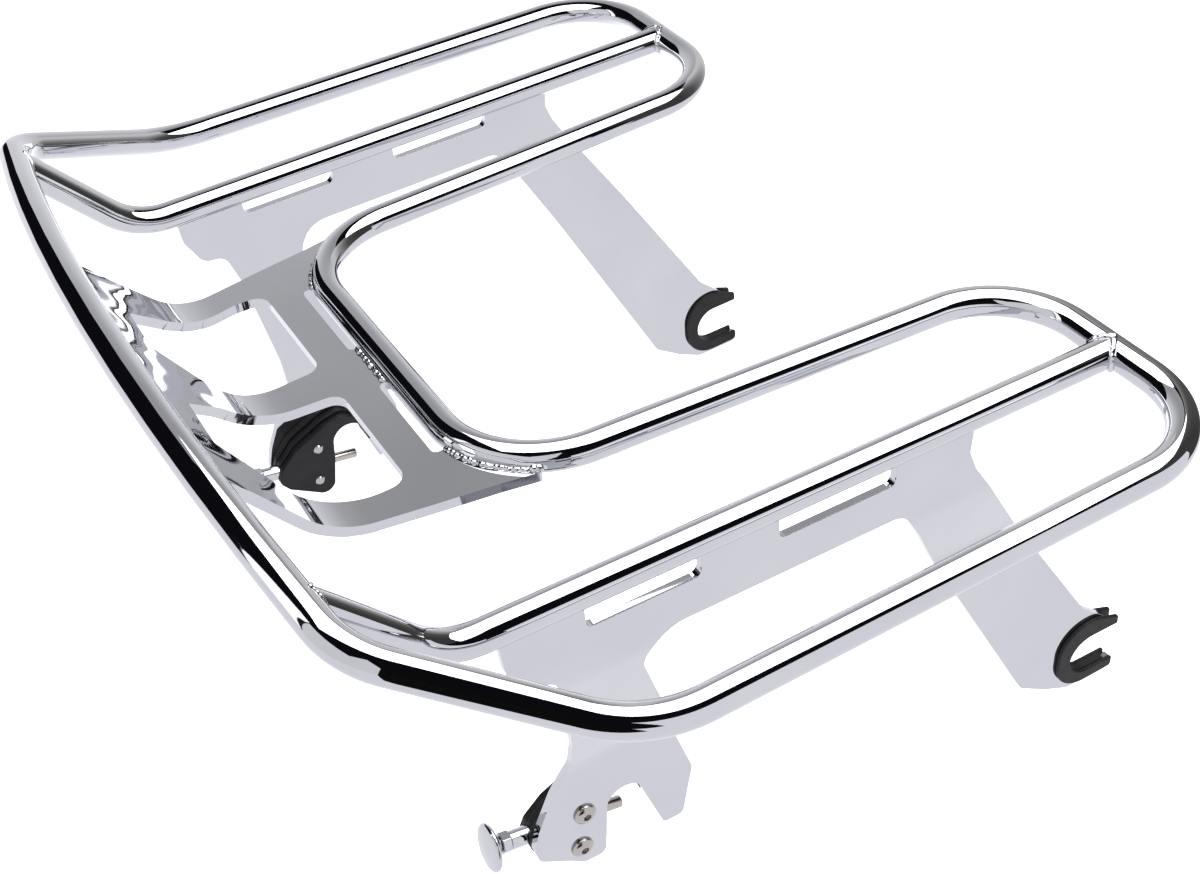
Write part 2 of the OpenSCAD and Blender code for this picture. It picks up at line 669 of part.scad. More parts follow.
perimeter_tube();
middle_rail("left");  // left_middle_rail
middle_rail("right");  // right_middle_rail
centre_plate();
side_plate("left");  // left_side_plate
side_plate("right");  // right_side_plate
cross_tube_welds();
rear_bar_welds();
rail_front_welds();
rail_rear_welds();
side_plate_welds("left");  // left_side_plate_welds
side_plate_welds("right");  // right_side_plate_welds
hook_grommet("left");  // left_hook_grommet
hook_grommet("right");  // right_hook_grommet
latch_body("left");  // left_latch_body
latch_body("right");  // right_latch_body
latch_screw("left", screw_upper);  // left_upper_latch_screw
latch_screw("right", screw_upper);  // right_upper_latch_screw
latch_screw("left", screw_lower);  // left_lower_latch_screw
latch_screw("right", screw_lower);  // right_lower_latch_screw
plunger_bush("left");  // left_plunger_bush
plunger_bush("right");  // right_plunger_bush
plunger_spring("left");  // left_plunger_spring
plunger_spring("right");  // right_plunger_spring
plunger_pin("left");  // left_plunger_pin
plunger_pin("right");  // right_plunger_pin
plunger_knob("left");  // left_plunger_knob
plunger_knob("right");  // right_plunger_knob
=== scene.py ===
"""Looks of the wraparound luggage rack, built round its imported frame.

Every size is in metres. X is forward, Y is left, Z is up, and the origin is the middle of
the inner cross tube. Each sub-assembly is a class that models its own meshes and dresses
them, and each finish is a small class that builds one material.
"""

import json
import logging
import math
from collections.abc import Sequence
from dataclasses import dataclass, field
from enum import Enum

import bpy
from mathutils import Matrix, Vector

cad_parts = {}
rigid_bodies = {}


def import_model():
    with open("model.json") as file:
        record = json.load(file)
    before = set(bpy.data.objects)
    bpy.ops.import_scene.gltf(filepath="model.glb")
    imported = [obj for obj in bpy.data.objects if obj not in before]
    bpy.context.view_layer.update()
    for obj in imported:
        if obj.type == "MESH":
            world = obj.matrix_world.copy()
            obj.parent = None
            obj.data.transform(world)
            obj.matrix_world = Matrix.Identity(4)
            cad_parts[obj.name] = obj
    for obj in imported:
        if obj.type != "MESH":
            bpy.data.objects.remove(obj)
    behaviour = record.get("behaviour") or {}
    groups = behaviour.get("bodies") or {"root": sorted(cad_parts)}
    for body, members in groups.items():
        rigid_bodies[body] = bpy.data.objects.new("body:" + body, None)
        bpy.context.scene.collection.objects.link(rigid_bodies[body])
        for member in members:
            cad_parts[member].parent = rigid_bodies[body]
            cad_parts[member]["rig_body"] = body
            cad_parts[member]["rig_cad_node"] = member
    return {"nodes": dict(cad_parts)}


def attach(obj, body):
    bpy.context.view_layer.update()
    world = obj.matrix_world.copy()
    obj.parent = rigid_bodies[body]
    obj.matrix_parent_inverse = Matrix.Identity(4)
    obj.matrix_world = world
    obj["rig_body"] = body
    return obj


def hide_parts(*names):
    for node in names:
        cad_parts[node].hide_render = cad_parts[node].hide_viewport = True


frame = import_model()

MM = 0.001
UP = Vector((0.0, 0.0, 1.0))
ACROSS = Vector((0.0, 1.0, 0.0))
PHOTO_WIDTH = 1200
PHOTO_HEIGHT = 874
TINY = 0.03 * MM

log = logging.getLogger("rack")


class Side(Enum):
    """The two halves of the rack, with the sign of their Y."""

    LEFT = 1
    RIGHT = -1

    def node(self, part: str) -> str:
        """Gives the CAD node's name for a part on this side."""
        return f"{self.name.lower()}_{part}"


class Slot(Enum):
    """The record's material slots."""

    CHROME = "chrome"
    RUBBER = "rubber"
    PLASTIC = "latch_plastic"
    FASTENER = "fastener_steel"


def deselect() -> None:
    """Leaves object mode with nothing selected."""
    if bpy.context.object and bpy.context.object.mode != "OBJECT":
        bpy.ops.object.mode_set(mode="OBJECT")
    bpy.ops.object.select_all(action="DESELECT")


def activate(obj: bpy.types.Object) -> None:
    """Selects one object alone and makes it the active one.

    Args:
        obj: The object that the next operators act on.
    """
    deselect()
    obj.select_set(True)
    bpy.context.view_layer.objects.active = obj


def edit(obj: bpy.types.Object, select: str = "SELECT") -> None:
    """Opens an object in edit mode with all of it selected or not.

    Args:
        obj: The object to edit.
        select: SELECT or DESELECT.
    """
    activate(obj)
    bpy.ops.object.mode_set(mode="EDIT")
    bpy.ops.mesh.select_mode(type="VERT")
    bpy.ops.mesh.select_all(action=select)


def place(obj: bpy.types.Object) -> None:
    """Moves an object's place, turn and scale into its mesh."""
    activate(obj)
    bpy.ops.object.transform_apply(location=True, rotation=True, scale=True)


def apply_modifier(obj: bpy.types.Object, kind: str, **settings: object) -> None:
    """Adds one modifier, sets it and applies it.

    Args:
        obj: The object to change.
        kind: The modifier's type, such as BEVEL.
        settings: Values for the modifier's own properties.
    """
    activate(obj)
    modifier = obj.modifiers.new(kind.title(), kind)
    for name, value in settings.items():
        setattr(modifier, name, value)
    bpy.ops.object.modifier_apply(modifier=modifier.name)


def smooth(obj: bpy.types.Object, angle: float = math.radians(32)) -> None:
    """Shades an object smooth, apart from edges sharper than the angle."""
    activate(obj)
    bpy.ops.object.shade_smooth_by_angle(angle=angle)


def hand_in(obj: bpy.types.Object, body: str, material: bpy.types.Material,
            replaced: tuple[str, ...] = ()) -> bpy.types.Object:
    """Gives a finished piece its material and its body, and hides the CAD nodes that it stands for.

    Args:
        obj: The finished piece.
        body: The CAD body that it rides on.
        material: The finish.
        replaced: CAD nodes that it stands for.

    Returns:
        The piece.
    """
    obj.data.materials.clear()
    obj.data.materials.append(material)
    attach(obj, body)
    if replaced:
        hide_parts(*replaced)
    log.info("%s: %d faces on %s", obj.name, len(obj.data.polygons), body)
    return obj


def cad_copy(node: str, name: str) -> bpy.types.Object:
    """Copies a CAD node's mesh and joins its loose triangles into clean faces.

    Args:
        node: The CAD node.
        name: The copy's name.

    Returns:
        The copy, at the origin, with its own mesh.
    """
    activate(frame["nodes"][node])
    bpy.ops.object.duplicate(linked=False)
    copy = bpy.context.object
    copy.name = copy.data.name = name
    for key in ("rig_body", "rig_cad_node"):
        if key in copy:
            del copy[key]
    copy.parent = None
    edit(copy)
    bpy.ops.mesh.customdata_custom_splitnormals_clear()
    bpy.ops.mesh.remove_doubles(threshold=TINY)
    bpy.ops.mesh.dissolve_degenerate(threshold=TINY)
    bpy.ops.mesh.dissolve_limited(angle_limit=math.radians(0.6))
    bpy.ops.object.mode_set(mode="OBJECT")
    return copy


class GroupKit:
    """Builds the shader node groups that several finishes share."""

    def __init__(self, name: str, inputs: dict[str, float], outputs: dict[str, str]) -> None:
        """Opens an empty group.

        Args:
            name: The group's name.
            inputs: Each input's name and default value.
            outputs: Each output's name and socket type.
        """
        self.tree = bpy.data.node_groups.new(name, "ShaderNodeTree")
        for label, value in inputs.items():
            socket = self.tree.interface.new_socket(label, in_out="INPUT", socket_type="NodeSocketFloat")
            socket.default_value = value
        self.tree.interface.new_socket("Vector", in_out="INPUT", socket_type="NodeSocketVector")
        for label, kind in outputs.items():
            self.tree.interface.new_socket(label, in_out="OUTPUT", socket_type=kind)
        self.source = self.add("NodeGroupInput")
        self.result = self.add("NodeGroupOutput")

    def add(self, kind: str, **settings: object) -> bpy.types.Node:
        """Adds a node and sets its properties."""
        node = self.tree.nodes.new(kind)
        for name, value in settings.items():
            setattr(node, name, value)
        return node

    def link(self, start: bpy.types.NodeSocket, end: bpy.types.NodeSocket) -> None:
        """Joins two sockets."""
        self.tree.links.new(start, end)

    def maths(self, operation: str, a: object, b: object) -> bpy.types.NodeSocket:
        """Adds a Math node and gives its output.

        Args:
            operation: The Math node's operation.
            a: A socket or a number.
            b: A socket or a number.

        Returns:
            The node's value socket.
        """
        node = self.add("ShaderNodeMath", operation=operation)
        for socket, value in zip(node.inputs, (a, b)):
            if isinstance(value, bpy.types.NodeSocket):
                self.link(value, socket)
            else:
                socket.default_value = value
        return node.outputs["Value"]

    def noise(self, scale: object, detail: float, vector: object = None) -> bpy.types.NodeSocket:
        """Adds a noise texture on the group's own vector and gives its value.

        Args:
            scale: A socket or a number.
            detail: How many layers of finer noise it has.
            vector: Another socket to read the place from.

        Returns:
            The noise's value socket.
        """
        node = self.add("ShaderNodeTexNoise")
        node.inputs["Detail"].default_value = detail
        if isinstance(scale, bpy.types.NodeSocket):
            self.link(scale, node.inputs["Scale"])
        else:
            node.inputs["Scale"].default_value = scale
        self.link(vector or self.source.outputs["Vector"], node.inputs["Vector"])
        return node.outputs["Fac"]


def build_polish_group() -> bpy.types.NodeTree:
    """Plated metal: slow waves of the metal below, fine haze and faint cloudy tint.

    Returns:
        The node group, with Height, Haze and Cloud outputs.
    """
    kit = GroupKit("polish", {"Wave Scale": 30.0, "Wave Depth": 0.4, "Peel Depth": 0.08, "Haze": 0.03,
                               "Warp Depth": 0.0, "Warp From": 0.004},
                   {"Height": "NodeSocketFloat", "Haze": "NodeSocketFloat", "Cloud": "NodeSocketFloat"})
    source = kit.source.outputs
    wave = kit.maths("MULTIPLY", kit.noise(source["Wave Scale"], 1.0), source["Wave Depth"])
    peel = kit.maths("MULTIPLY", kit.noise(420.0, 2.0), source["Peel Depth"])
    split = kit.tree.nodes.new("ShaderNodeSeparateXYZ")
    kit.link(source["Vector"], split.inputs["Vector"])
    rise = kit.maths("MULTIPLY", kit.maths("SUBTRACT", split.outputs["Z"], source["Warp From"]), 80.0)
    rise = kit.maths("MINIMUM", kit.maths("MAXIMUM", rise, 0.0), 1.0)
    warp = kit.maths("MULTIPLY", kit.maths("MULTIPLY", kit.noise(24.0, 1.0), source["Warp Depth"]), rise)
    kit.link(kit.maths("ADD", kit.maths("ADD", wave, peel), warp), kit.result.inputs["Height"])
    smear = kit.maths("MULTIPLY", kit.noise(55.0, 4.0), source["Haze"])
    kit.link(kit.maths("ADD", smear, kit.maths("MULTIPLY", source["Haze"], 0.6)), kit.result.inputs["Haze"])
    kit.link(kit.noise(14.0, 3.0), kit.result.inputs["Cloud"])
    return kit.tree


def build_grain_group() -> bpy.types.NodeTree:
    """Moulded surface: fine pores, broad shade and dull patches.

    Returns:
        The node group, with Height, Shade and Dull outputs.
    """
    kit = GroupKit("moulded_grain", {"Grain Scale": 1500.0, "Grain Depth": 0.5, "Patch Scale": 60.0},
                   {"Height": "NodeSocketFloat", "Shade": "NodeSocketFloat", "Dull": "NodeSocketFloat"})
    source = kit.source.outputs
    pores = kit.noise(source["Grain Scale"], 3.0)
    kit.link(kit.maths("MULTIPLY", pores, source["Grain Depth"]), kit.result.inputs["Height"])
    kit.link(kit.noise(source["Patch Scale"], 4.0), kit.result.inputs["Shade"])
    kit.link(kit.noise(kit.maths("MULTIPLY", source["Patch Scale"], 3.0), 5.0), kit.result.inputs["Dull"])
    return kit.tree


@dataclass(frozen=True)
class MaterialKit:
    """A new material with its Principled shader and the coordinates of its piece."""

    name: str

    def build(self) -> tuple[bpy.types.Material, bpy.types.Node, bpy.types.NodeSocket]:
        """Makes the material.

        Returns:
            The material, its Principled node and its Object coordinates.
        """
        material = bpy.data.materials.new(self.name)
        material.use_nodes = True
        shader = material.node_tree.nodes["Principled BSDF"]
        place_node = material.node_tree.nodes.new("ShaderNodeTexCoord")
        return material, shader, place_node.outputs["Object"]

    @staticmethod
    def ramp(tree: bpy.types.NodeTree, value: bpy.types.NodeSocket, low: tuple[float, ...],
             high: tuple[float, ...], start: float = 0.3, end: float = 0.7) -> bpy.types.NodeSocket:
        """Turns a value into a blend of two colours.

        Args:
            tree: The material's tree.
            value: The value that picks the blend.
            low: The colour at the start.
            high: The colour at the end.
            start: Where the blend starts.
            end: Where the blend ends.

        Returns:
            The ramp's colour socket.
        """
        node = tree.nodes.new("ShaderNodeValToRGB")
        node.color_ramp.elements[0].position = start
        node.color_ramp.elements[0].color = (*low, 1.0)
        node.color_ramp.elements[1].position = end
        node.color_ramp.elements[1].color = (*high, 1.0)
        tree.links.new(value, node.inputs["Fac"])
        return node.outputs["Color"]

    @staticmethod
    def bump(tree: bpy.types.NodeTree, height: bpy.types.NodeSocket, distance: float,
             shader: bpy.types.Node) -> None:
        """Feeds a height into the shader's normal.

        Args:
            tree: The material's tree.
            height: The height's socket.
            distance: The relief in metres for a height of one.
            shader: The Principled node.
        """
        node = tree.nodes.new("ShaderNodeBump")
        node.inputs["Strength"].default_value = 1.0
        node.inputs["Distance"].default_value = distance
        tree.links.new(height, node.inputs["Height"])
        tree.links.new(node.outputs["Normal"], shader.inputs["Normal"])


@dataclass(frozen=True)
class Chrome:
    """Bright plating over steel: tint, haze and the depth of the metal's waves."""

    name: str
    bright: tuple[float, float, float] = (0.585, 0.59, 0.61)
    cloudy: tuple[float, float, float] = (0.545, 0.55, 0.575)
    haze: float = 0.03
    wave_scale: float = 30.0
    wave_depth: float = 0.05 * MM
    peel_depth: float = 0.0004 * MM
    warp_depth: float = 0.0

    def build(self, polish: bpy.types.NodeTree) -> bpy.types.Material:
        """Makes the material.

        Args:
            polish: The shared polish group.

        Returns:
            The material.
        """
        material, shader, coordinates = MaterialKit(self.name).build()
        tree = material.node_tree
        group = tree.nodes.new("ShaderNodeGroup")
        group.node_tree = polish
        group.inputs["Wave Scale"].default_value = self.wave_scale
        group.inputs["Wave Depth"].default_value = self.wave_depth
        group.inputs["Peel Depth"].default_value = self.peel_depth
        group.inputs["Haze"].default_value = self.haze
        group.inputs["Warp Depth"].default_value = self.warp_depth
        tree.links.new(coordinates, group.inputs["Vector"])
        tint = MaterialKit.ramp(tree, group.outputs["Cloud"], self.cloudy, self.bright)
        tree.links.new(tint, shader.inputs["Base Color"])
        tree.links.new(group.outputs["Haze"], shader.inputs["Roughness"])
        MaterialKit.bump(tree, group.outputs["Height"], 1.0, shader)
        shader.inputs["Metallic"].default_value = 1.0
        return material


@dataclass(frozen=True)
class Moulded:
    """Rubber or plastic: two shades, gloss and grain."""

    name: str
    dark: tuple[float, float, float]
    light: tuple[float, float, float]
    rough_low: float
    rough_high: float
    grain_scale: float
    grain_depth: float
    patch_scale: float = 60.0
    shine: float = 0.25

    def build(self, grain: bpy.types.NodeTree) -> bpy.types.Material:
        """Makes the material.

        Args:
            grain: The shared grain group.

        Returns:
            The material.
        """
        material, shader, coordinates = MaterialKit(self.name).build()
        tree = material.node_tree
        group = tree.nodes.new("ShaderNodeGroup")
        group.node_tree = grain
        group.inputs["Grain Scale"].default_value = self.grain_scale
        group.inputs["Grain Depth"].default_value = self.grain_depth
        group.inputs["Patch Scale"].default_value = self.patch_scale
        tree.links.new(coordinates, group.inputs["Vector"])
        shade = MaterialKit.ramp(tree, group.outputs["Shade"], self.dark, self.light)
        tree.links.new(shade, shader.inputs["Base Color"])
        dull = tree.nodes.new("ShaderNodeMapRange")
        dull.inputs["To Min"].default_value = self.rough_low
        dull.inputs["To Max"].default_value = self.rough_high
        tree.links.new(group.outputs["Dull"], dull.inputs["Value"])
        tree.links.new(dull.outputs["Result"], shader.inputs["Roughness"])
        MaterialKit.bump(tree, group.outputs["Height"], 1.0, shader)
        shader.inputs["Specular IOR Level"].default_value = self.shine
        return material


@dataclass(frozen=True)
class TurnedSteel:
    """Turned or headed steel: a warm tint with fine tool rings along its own length."""

    name: str
    bright: tuple[float, float, float]
    dark: tuple[float, float, float]
    roughness: float
    ring_scale: float
    ring_depth: float
    turn: tuple[float, float, float] = (0.0, 0.0, 0.0)

    def build(self, polish: bpy.types.NodeTree) -> bpy.types.Material:
        """Makes the material.

        Args:
            polish: The shared polish group.

        Returns:
            The material.
        """
        material, shader, coordinates = MaterialKit(self.name).build()
        tree = material.node_tree
        mapping = tree.nodes.new("ShaderNodeMapping")
        mapping.inputs["Rotation"].default_value = self.turn
        tree.links.new(coordinates, mapping.inputs["Vector"])
        wave = tree.nodes.new("ShaderNodeTexWave")
        wave.inputs["Scale"].default_value = self.ring_scale
        wave.inputs["Distortion"].default_value = 1.5
        wave.inputs["Detail"].default_value = 3.0
        tree.links.new(mapping.outputs["Vector"], wave.inputs["Vector"])
        group = tree.nodes.new("ShaderNodeGroup")
        group.node_tree = polish
        group.inputs["Haze"].default_value = self.roughness
        tree.links.new(coordinates, group.inputs["Vector"])
        tint = MaterialKit.ramp(tree, group.outputs["Cloud"], self.dark, self.bright)
        tree.links.new(tint, shader.inputs["Base Color"])
        tree.links.new(group.outputs["Haze"], shader.inputs["Roughness"])
        MaterialKit.bump(tree, wave.outputs["Fac"], self.ring_depth, shader)
        shader.inputs["Metallic"].default_value = 1.0
        return material


class Finishes:
    """Every finish of the rack, built once."""

    def __init__(self) -> None:
        """Builds the shared groups and the materials."""
        polish = build_polish_group()
        grain = build_grain_group()
        self.tube = Chrome("chrome_tube", wave_scale=9.0, wave_depth=0.03 * MM).build(polish)
        self.sheet = Chrome("chrome_sheet", wave_scale=16.0, wave_depth=0.16 * MM,
                            warp_depth=1.6 * MM).build(polish)
        self.plate = Chrome("chrome_plate", wave_scale=11.0, wave_depth=0.05 * MM).build(polish)
        self.bead = Chrome("chrome_bead", wave_scale=260.0, wave_depth=0.25 * MM, haze=0.05,
                           bright=(0.64, 0.645, 0.66)).build(polish)
        self.knob = Chrome("chrome_knob", wave_scale=60.0, wave_depth=0.02 * MM).build(polish)
        self.rubber = Moulded("rubber_black", (0.004, 0.004, 0.0045), (0.010, 0.010, 0.0105), 0.42, 0.66,
                              1300.0, 0.035 * MM).build(grain)
        self.plastic = Moulded("latch_plastic_black", (0.004, 0.004, 0.005), (0.008, 0.008, 0.009), 0.34,
                               0.5, 2200.0, 0.03 * MM).build(grain)
        self.screw = TurnedSteel("stainless_screw", (0.52, 0.49, 0.46), (0.40, 0.375, 0.35), 0.16, 900.0,
                                 0.004 * MM).build(polish)
        self.pin = TurnedSteel("stainless_pin", (0.55, 0.52, 0.48), (0.43, 0.40, 0.37), 0.2, 700.0,
                               0.006 * MM).build(polish)
        self.spring = TurnedSteel("spring_steel_oiled", (0.22, 0.22, 0.23), (0.13, 0.13, 0.14), 0.28,
                                  1200.0, 0.004 * MM).build(polish)


@dataclass
class BentTube:
    """A tube bent on a former: straights are drawn out of a ring and bends are spun."""

    name: str
    points: list[Vector]
    radii: list[float]
    tube_r: float
    closed: bool = False
    sides: int = 72
    bend_step: float = math.radians(2.5)
    seam_inset: float = 0.6 * MM

    def corner(self, i: int) -> Vector:
        """Gives a corner of the run, counted round a closed one."""
        return self.points[i % len(self.points)]

    def turn(self, i: int) -> float:
        """Gives the angle that the tube turns through at a corner."""
        before = self.corner(i) - self.corner(i - 1)
        after = self.corner(i + 1) - self.corner(i)
        return before.angle(after)

    def trim(self, i: int) -> float:
        """Gives how far before a corner its bend starts."""
        radius = self.radii[i % len(self.points)]
        return radius * math.tan(self.turn(i) / 2) if radius else 0.0

    def start_ring(self, at: Vector, way: Vector) -> bpy.types.Object:
        """Adds the first ring of the tube.

        Args:
            at: The ring's centre.
            way: The direction that the tube leaves in.

        Returns:
            The new object, with its place in its mesh.
        """
        deselect()
        bpy.ops.mesh.primitive_circle_add(vertices=self.sides, radius=self.tube_r, fill_type="NOTHING",
                                          location=at, rotation=way.to_track_quat("Z", "Y").to_euler())
        ring = bpy.context.object
        ring.name = ring.data.name = self.name
        place(ring)
        return ring

    def draw(self, way: Vector) -> None:
        """Draws the selected ring out along a straight."""
        if way.length > TINY:
            bpy.ops.mesh.extrude_region_move(TRANSFORM_OT_translate={"value": way})

    def bend(self, i: int) -> None:
        """Spins the selected ring round the bend at a corner."""
        before = (self.corner(i) - self.corner(i - 1)).normalized()
        after = (self.corner(i + 1) - self.corner(i)).normalized()
        angle = self.turn(i)
        radius = self.radii[i % len(self.points)]
        middle = (after - before).normalized()
        centre = self.corner(i) + middle * radius / math.cos(angle / 2)
        steps = max(4, math.ceil(angle / self.bend_step))
        bpy.ops.mesh.spin(steps=steps, angle=-angle, center=centre, axis=before.cross(after).normalized())

    def build(self) -> bpy.types.Object:
        """Bends the whole tube.

        Returns:
            The tube, closed at its ends or joined to itself.
        """
        count = len(self.points)
        first = self.corner(1) - self.corner(0)
        way = first.normalized()
        start = self.corner(0) + way * (first.length / 2 if self.closed else self.seam_inset)
        tube = self.start_ring(start, way)
        edit(tube)
        at = start
        last = count + 1 if self.closed else count - 1
        for i in range(1, last):
            way = (self.corner(i) - self.corner(i - 1)).normalized()
            stop = self.corner(i) - way * self.trim(i)
            self.draw(stop - at)
            self.bend(i)
            after = (self.corner(i + 1) - self.corner(i)).normalized()
            at = self.corner(i) + after * self.trim(i)
        bpy.ops.mesh.select_all(action="DESELECT")
        if self.closed:
            bpy.ops.mesh.select_non_manifold(use_wire=False, use_multi_face=False,
                                             use_non_contiguous=False, use_verts=False)
            bpy.ops.mesh.bridge_edge_loops()
        else:
            end = self.corner(count - 1) - (self.corner(count - 1) - at).normalized() * self.seam_inset
            bpy.ops.object.mode_set(mode="OBJECT")
            for vertex in list(tube.data.vertices)[-self.sides:]:
                vertex.select = True
            bpy.ops.object.mode_set(mode="EDIT")
            self.draw(end - at)
            bpy.ops.mesh.select_all(action="SELECT")
            bpy.ops.mesh.fill_holes(sides=self.sides)
        bpy.ops.mesh.select_all(action="SELECT")
        bpy.ops.mesh.normals_make_consistent(inside=False)
        smooth(tube)
        return tube


@dataclass
class TubeFrame:
    """The bent perimeter tube and the two middle rails."""

    finish: bpy.types.Material
    tube_r: float = 7.95 * MM
    front_x: float = 292.6 * MM
    side_y: float = 278.7 * MM
    inner_y: float = 116.1 * MM
    inner_spread: float = 16.2 * MM
    kick_x: float = -16.7 * MM
    inner_bend: float = 55.3 * MM
    front_bend: float = 50.2 * MM
    side_bend: float = 79.7 * MM
    rear_bend: float = 33.2 * MM
    bar_corner: Vector = field(default_factory=lambda: Vector((-113.5, 226.0, 55.9)) * MM)
    bar_bow: float = 16.7 * MM
    bar_crown: float = 21.1 * MM
    bow_reach_share: float = 1.84
    rail_y: float = 197.8 * MM
    rail_spread: float = 5.9 * MM
    rail_kick_x: float = -65.2 * MM
    rail_bend: float = 43.4 * MM

    @property
    def bar_apex(self) -> Vector:
        """The point where the rear bar's two end tangents meet."""
        reach = self.bow_reach_share
        return Vector((self.bar_corner.x - reach * self.bar_bow, 0.0,
                       self.bar_corner.z + reach * self.bar_crown))

    @property
    def bow_radius(self) -> float:
        """The radius that the rear bar is bowed to."""
        rise = math.hypot(self.bar_bow, self.bar_crown)
        half_turn = math.atan(rise * self.bow_reach_share / self.bar_corner.y)
        return rise * (self.bow_reach_share - 1) / (1 / math.cos(half_turn) - 1)

    def bar_point(self, y: float) -> Vector:
        """Gives the centre of the rear bar at a distance from the middle."""
        rise = math.hypot(self.bar_bow, self.bar_crown)
        sag = self.bow_radius - math.sqrt(self.bow_radius ** 2 - y * y)
        middle = Vector((self.bar_corner.x - self.bar_bow, 0.0, self.bar_corner.z + self.bar_crown))
        down = Vector((self.bar_bow, 0.0, -self.bar_crown)) / rise
        return middle + down * sag + ACROSS * y

    def rail_corners(self, side: Side) -> list[Vector]:
        """Gives the three corners of a middle rail, front end first."""
        slope = self.rail_spread / self.front_x
        kick_y = self.rail_y + slope * self.rail_kick_x
        bar = self.bar_point(kick_y)
        corners = [Vector((self.front_x, self.rail_y + self.rail_spread, 0.0)),
                   Vector((self.rail_kick_x, kick_y, 0.0)), bar]
        return [Vector((c.x, side.value * c.y, c.z)) for c in corners]

    def build_perimeter(self) -> bpy.types.Object:
        """Bends the one tube that runs all the way round the rack.

        Returns:
            The perimeter tube.
        """
        half = [Vector((0.0, self.inner_y, 0.0)),
                Vector((self.front_x, self.inner_y + self.inner_spread, 0.0)),
                Vector((self.front_x, self.side_y, 0.0)),
                Vector((self.kick_x, self.side_y, 0.0)), self.bar_corner]
        radii = [self.inner_bend, self.front_bend, self.front_bend, self.side_bend, self.rear_bend]
        other = [Vector((c.x, -c.y, c.z)) for c in reversed(half)]
        tube = BentTube("perimeter_tube_bent", half + [self.bar_apex] + other,
                        radii + [self.bow_radius] + radii[::-1], self.tube_r, closed=True).build()
        return hand_in(tube, "rack", self.finish, ("perimeter_tube",))

    def build_rail(self, side: Side) -> bpy.types.Object:
        """Bends a middle rail and lets its ends into the perimeter tube.

        Args:
            side: The side of the rack.

        Returns:
            The rail.
        """
        corners = self.rail_corners(side)
        tube = BentTube(side.node("middle_rail_bent"), corners, [0.0, self.rail_bend, 0.0],
                        self.tube_r).build()
        return hand_in(tube, "rack", self.finish, (side.node("middle_rail"),))

    def build(self) -> None:
        """Builds all three tubes."""
        self.build_perimeter()
        for side in Side:
            self.build_rail(side)


@dataclass(frozen=True)
class Outline:
    """A closed outline given forward and down from the rail, each corner with its radius."""

    corners: tuple[tuple[float, float, float], ...]
    arc_step: float = math.radians(5)

    def points(self) -> list[tuple[float, float]]:
        """Rounds every corner.

        Returns:
            The outline's points in millimetres.
        """
        out = []
        count = len(self.corners)
        for i, (x, z, radius) in enumerate(self.corners):
            here = Vector((x, z))
            before = Vector(self.corners[i - 1][:2]) - here
            after = Vector(self.corners[(i + 1) % count][:2]) - here
            u, w = before.normalized(), after.normalized()
            turn = math.pi - u.angle(w)
            if not radius or turn < 0.01:
                out.append((x, z))
                continue
            centre = here + (u + w).normalized() * radius / math.cos(turn / 2)
            start = here + u * radius * math.tan(turn / 2) - centre
            sense = 1 if u.x * w.y - u.y * w.x < 0 else -1
            steps = max(2, math.ceil(turn / self.arc_step))
            for k in range(steps + 1):
                angle = sense * turn * k / steps
                out.append((centre.x + start.x * math.cos(angle) - start.y * math.sin(angle),
                            centre.y + start.x * math.sin(angle) + start.y * math.cos(angle)))
        return out


def arc(x: float, z: float, radius: float, start: float, end: float,
        steps: int = 24) -> tuple[tuple[float, float, float], ...]:
    """Gives points on an arc as sharp outline corners.

    Args:
        x: The centre's distance forward.
        z: The centre's depth.
        radius: The arc's radius.
        start: The first angle in degrees, turning from forward to down.
        end: The last angle in degrees.
        steps: The number of chords.

    Returns:
        The corners.
    """
    angles = [math.radians(start + (end - start) * k / steps) for k in range(steps + 1)]
    return tuple((x + radius * math.cos(a), z + radius * math.sin(a), 0.0) for a in angles)


class RailFrame:
    """The side plates' own coordinates: forward along the rail, outboard and up."""

    rail_y = 197.8 * MM
    turn = math.atan(5.9 / 292.6)

    @classmethod
    def settle(cls, obj: bpy.types.Object, side: Side) -> bpy.types.Object:
        """Turns and moves a piece from the rail's coordinates to the rack's.

        Args:
            obj: The piece, with its place in its mesh.
            side: The side that it belongs to.

        Returns:
            The same piece.
        """
        activate(obj)
        obj.rotation_euler = (0.0, 0.0, cls.turn)
        obj.location = (0.0, cls.rail_y, 0.0)
        bpy.ops.object.transform_apply(location=True, rotation=True, scale=True)
        if side is Side.RIGHT:
            obj.scale = (1.0, -1.0, 1.0)
            bpy.ops.object.transform_apply(location=False, rotation=False, scale=True)
        edit(obj)
        bpy.ops.mesh.normals_make_consistent(inside=False)
        bpy.ops.object.mode_set(mode="OBJECT")
        if obj.data.has_custom_normals:
            bpy.ops.mesh.customdata_custom_splitnormals_clear()
            apply_modifier(obj, "WEIGHTED_NORMAL", keep_sharp=True, weight=50)
        return obj


def flat_loop(name: str, points: list[Vector], fill: str = "NGON") -> bpy.types.Object:
    """Adds a ring of vertices and puts each at its place.

    Args:
        name: The piece's name.
        points: The places in metres, in order.
        fill: Whether the ring gets a face, as the operator names it.

    Returns:
        The new piece.
    """
    deselect()
    bpy.ops.mesh.primitive_circle_add(vertices=len(points), radius=1.0, fill_type=fill)
    piece = bpy.context.object
    piece.name = piece.data.name = name
    for vertex, point in zip(piece.data.vertices, points):
        vertex.co = point
    return piece


def face_of(name: str, points: list[tuple[float, float]], y: float) -> bpy.types.Object:
    """Makes one flat face from an outline.

    Args:
        name: The piece's name.
        points: The outline, forward and down in millimetres.
        y: The face's place across the rack in millimetres.

    Returns:
        The new face.
    """
    return flat_loop(name, [Vector((x, y, -z)) * MM for x, z in points])


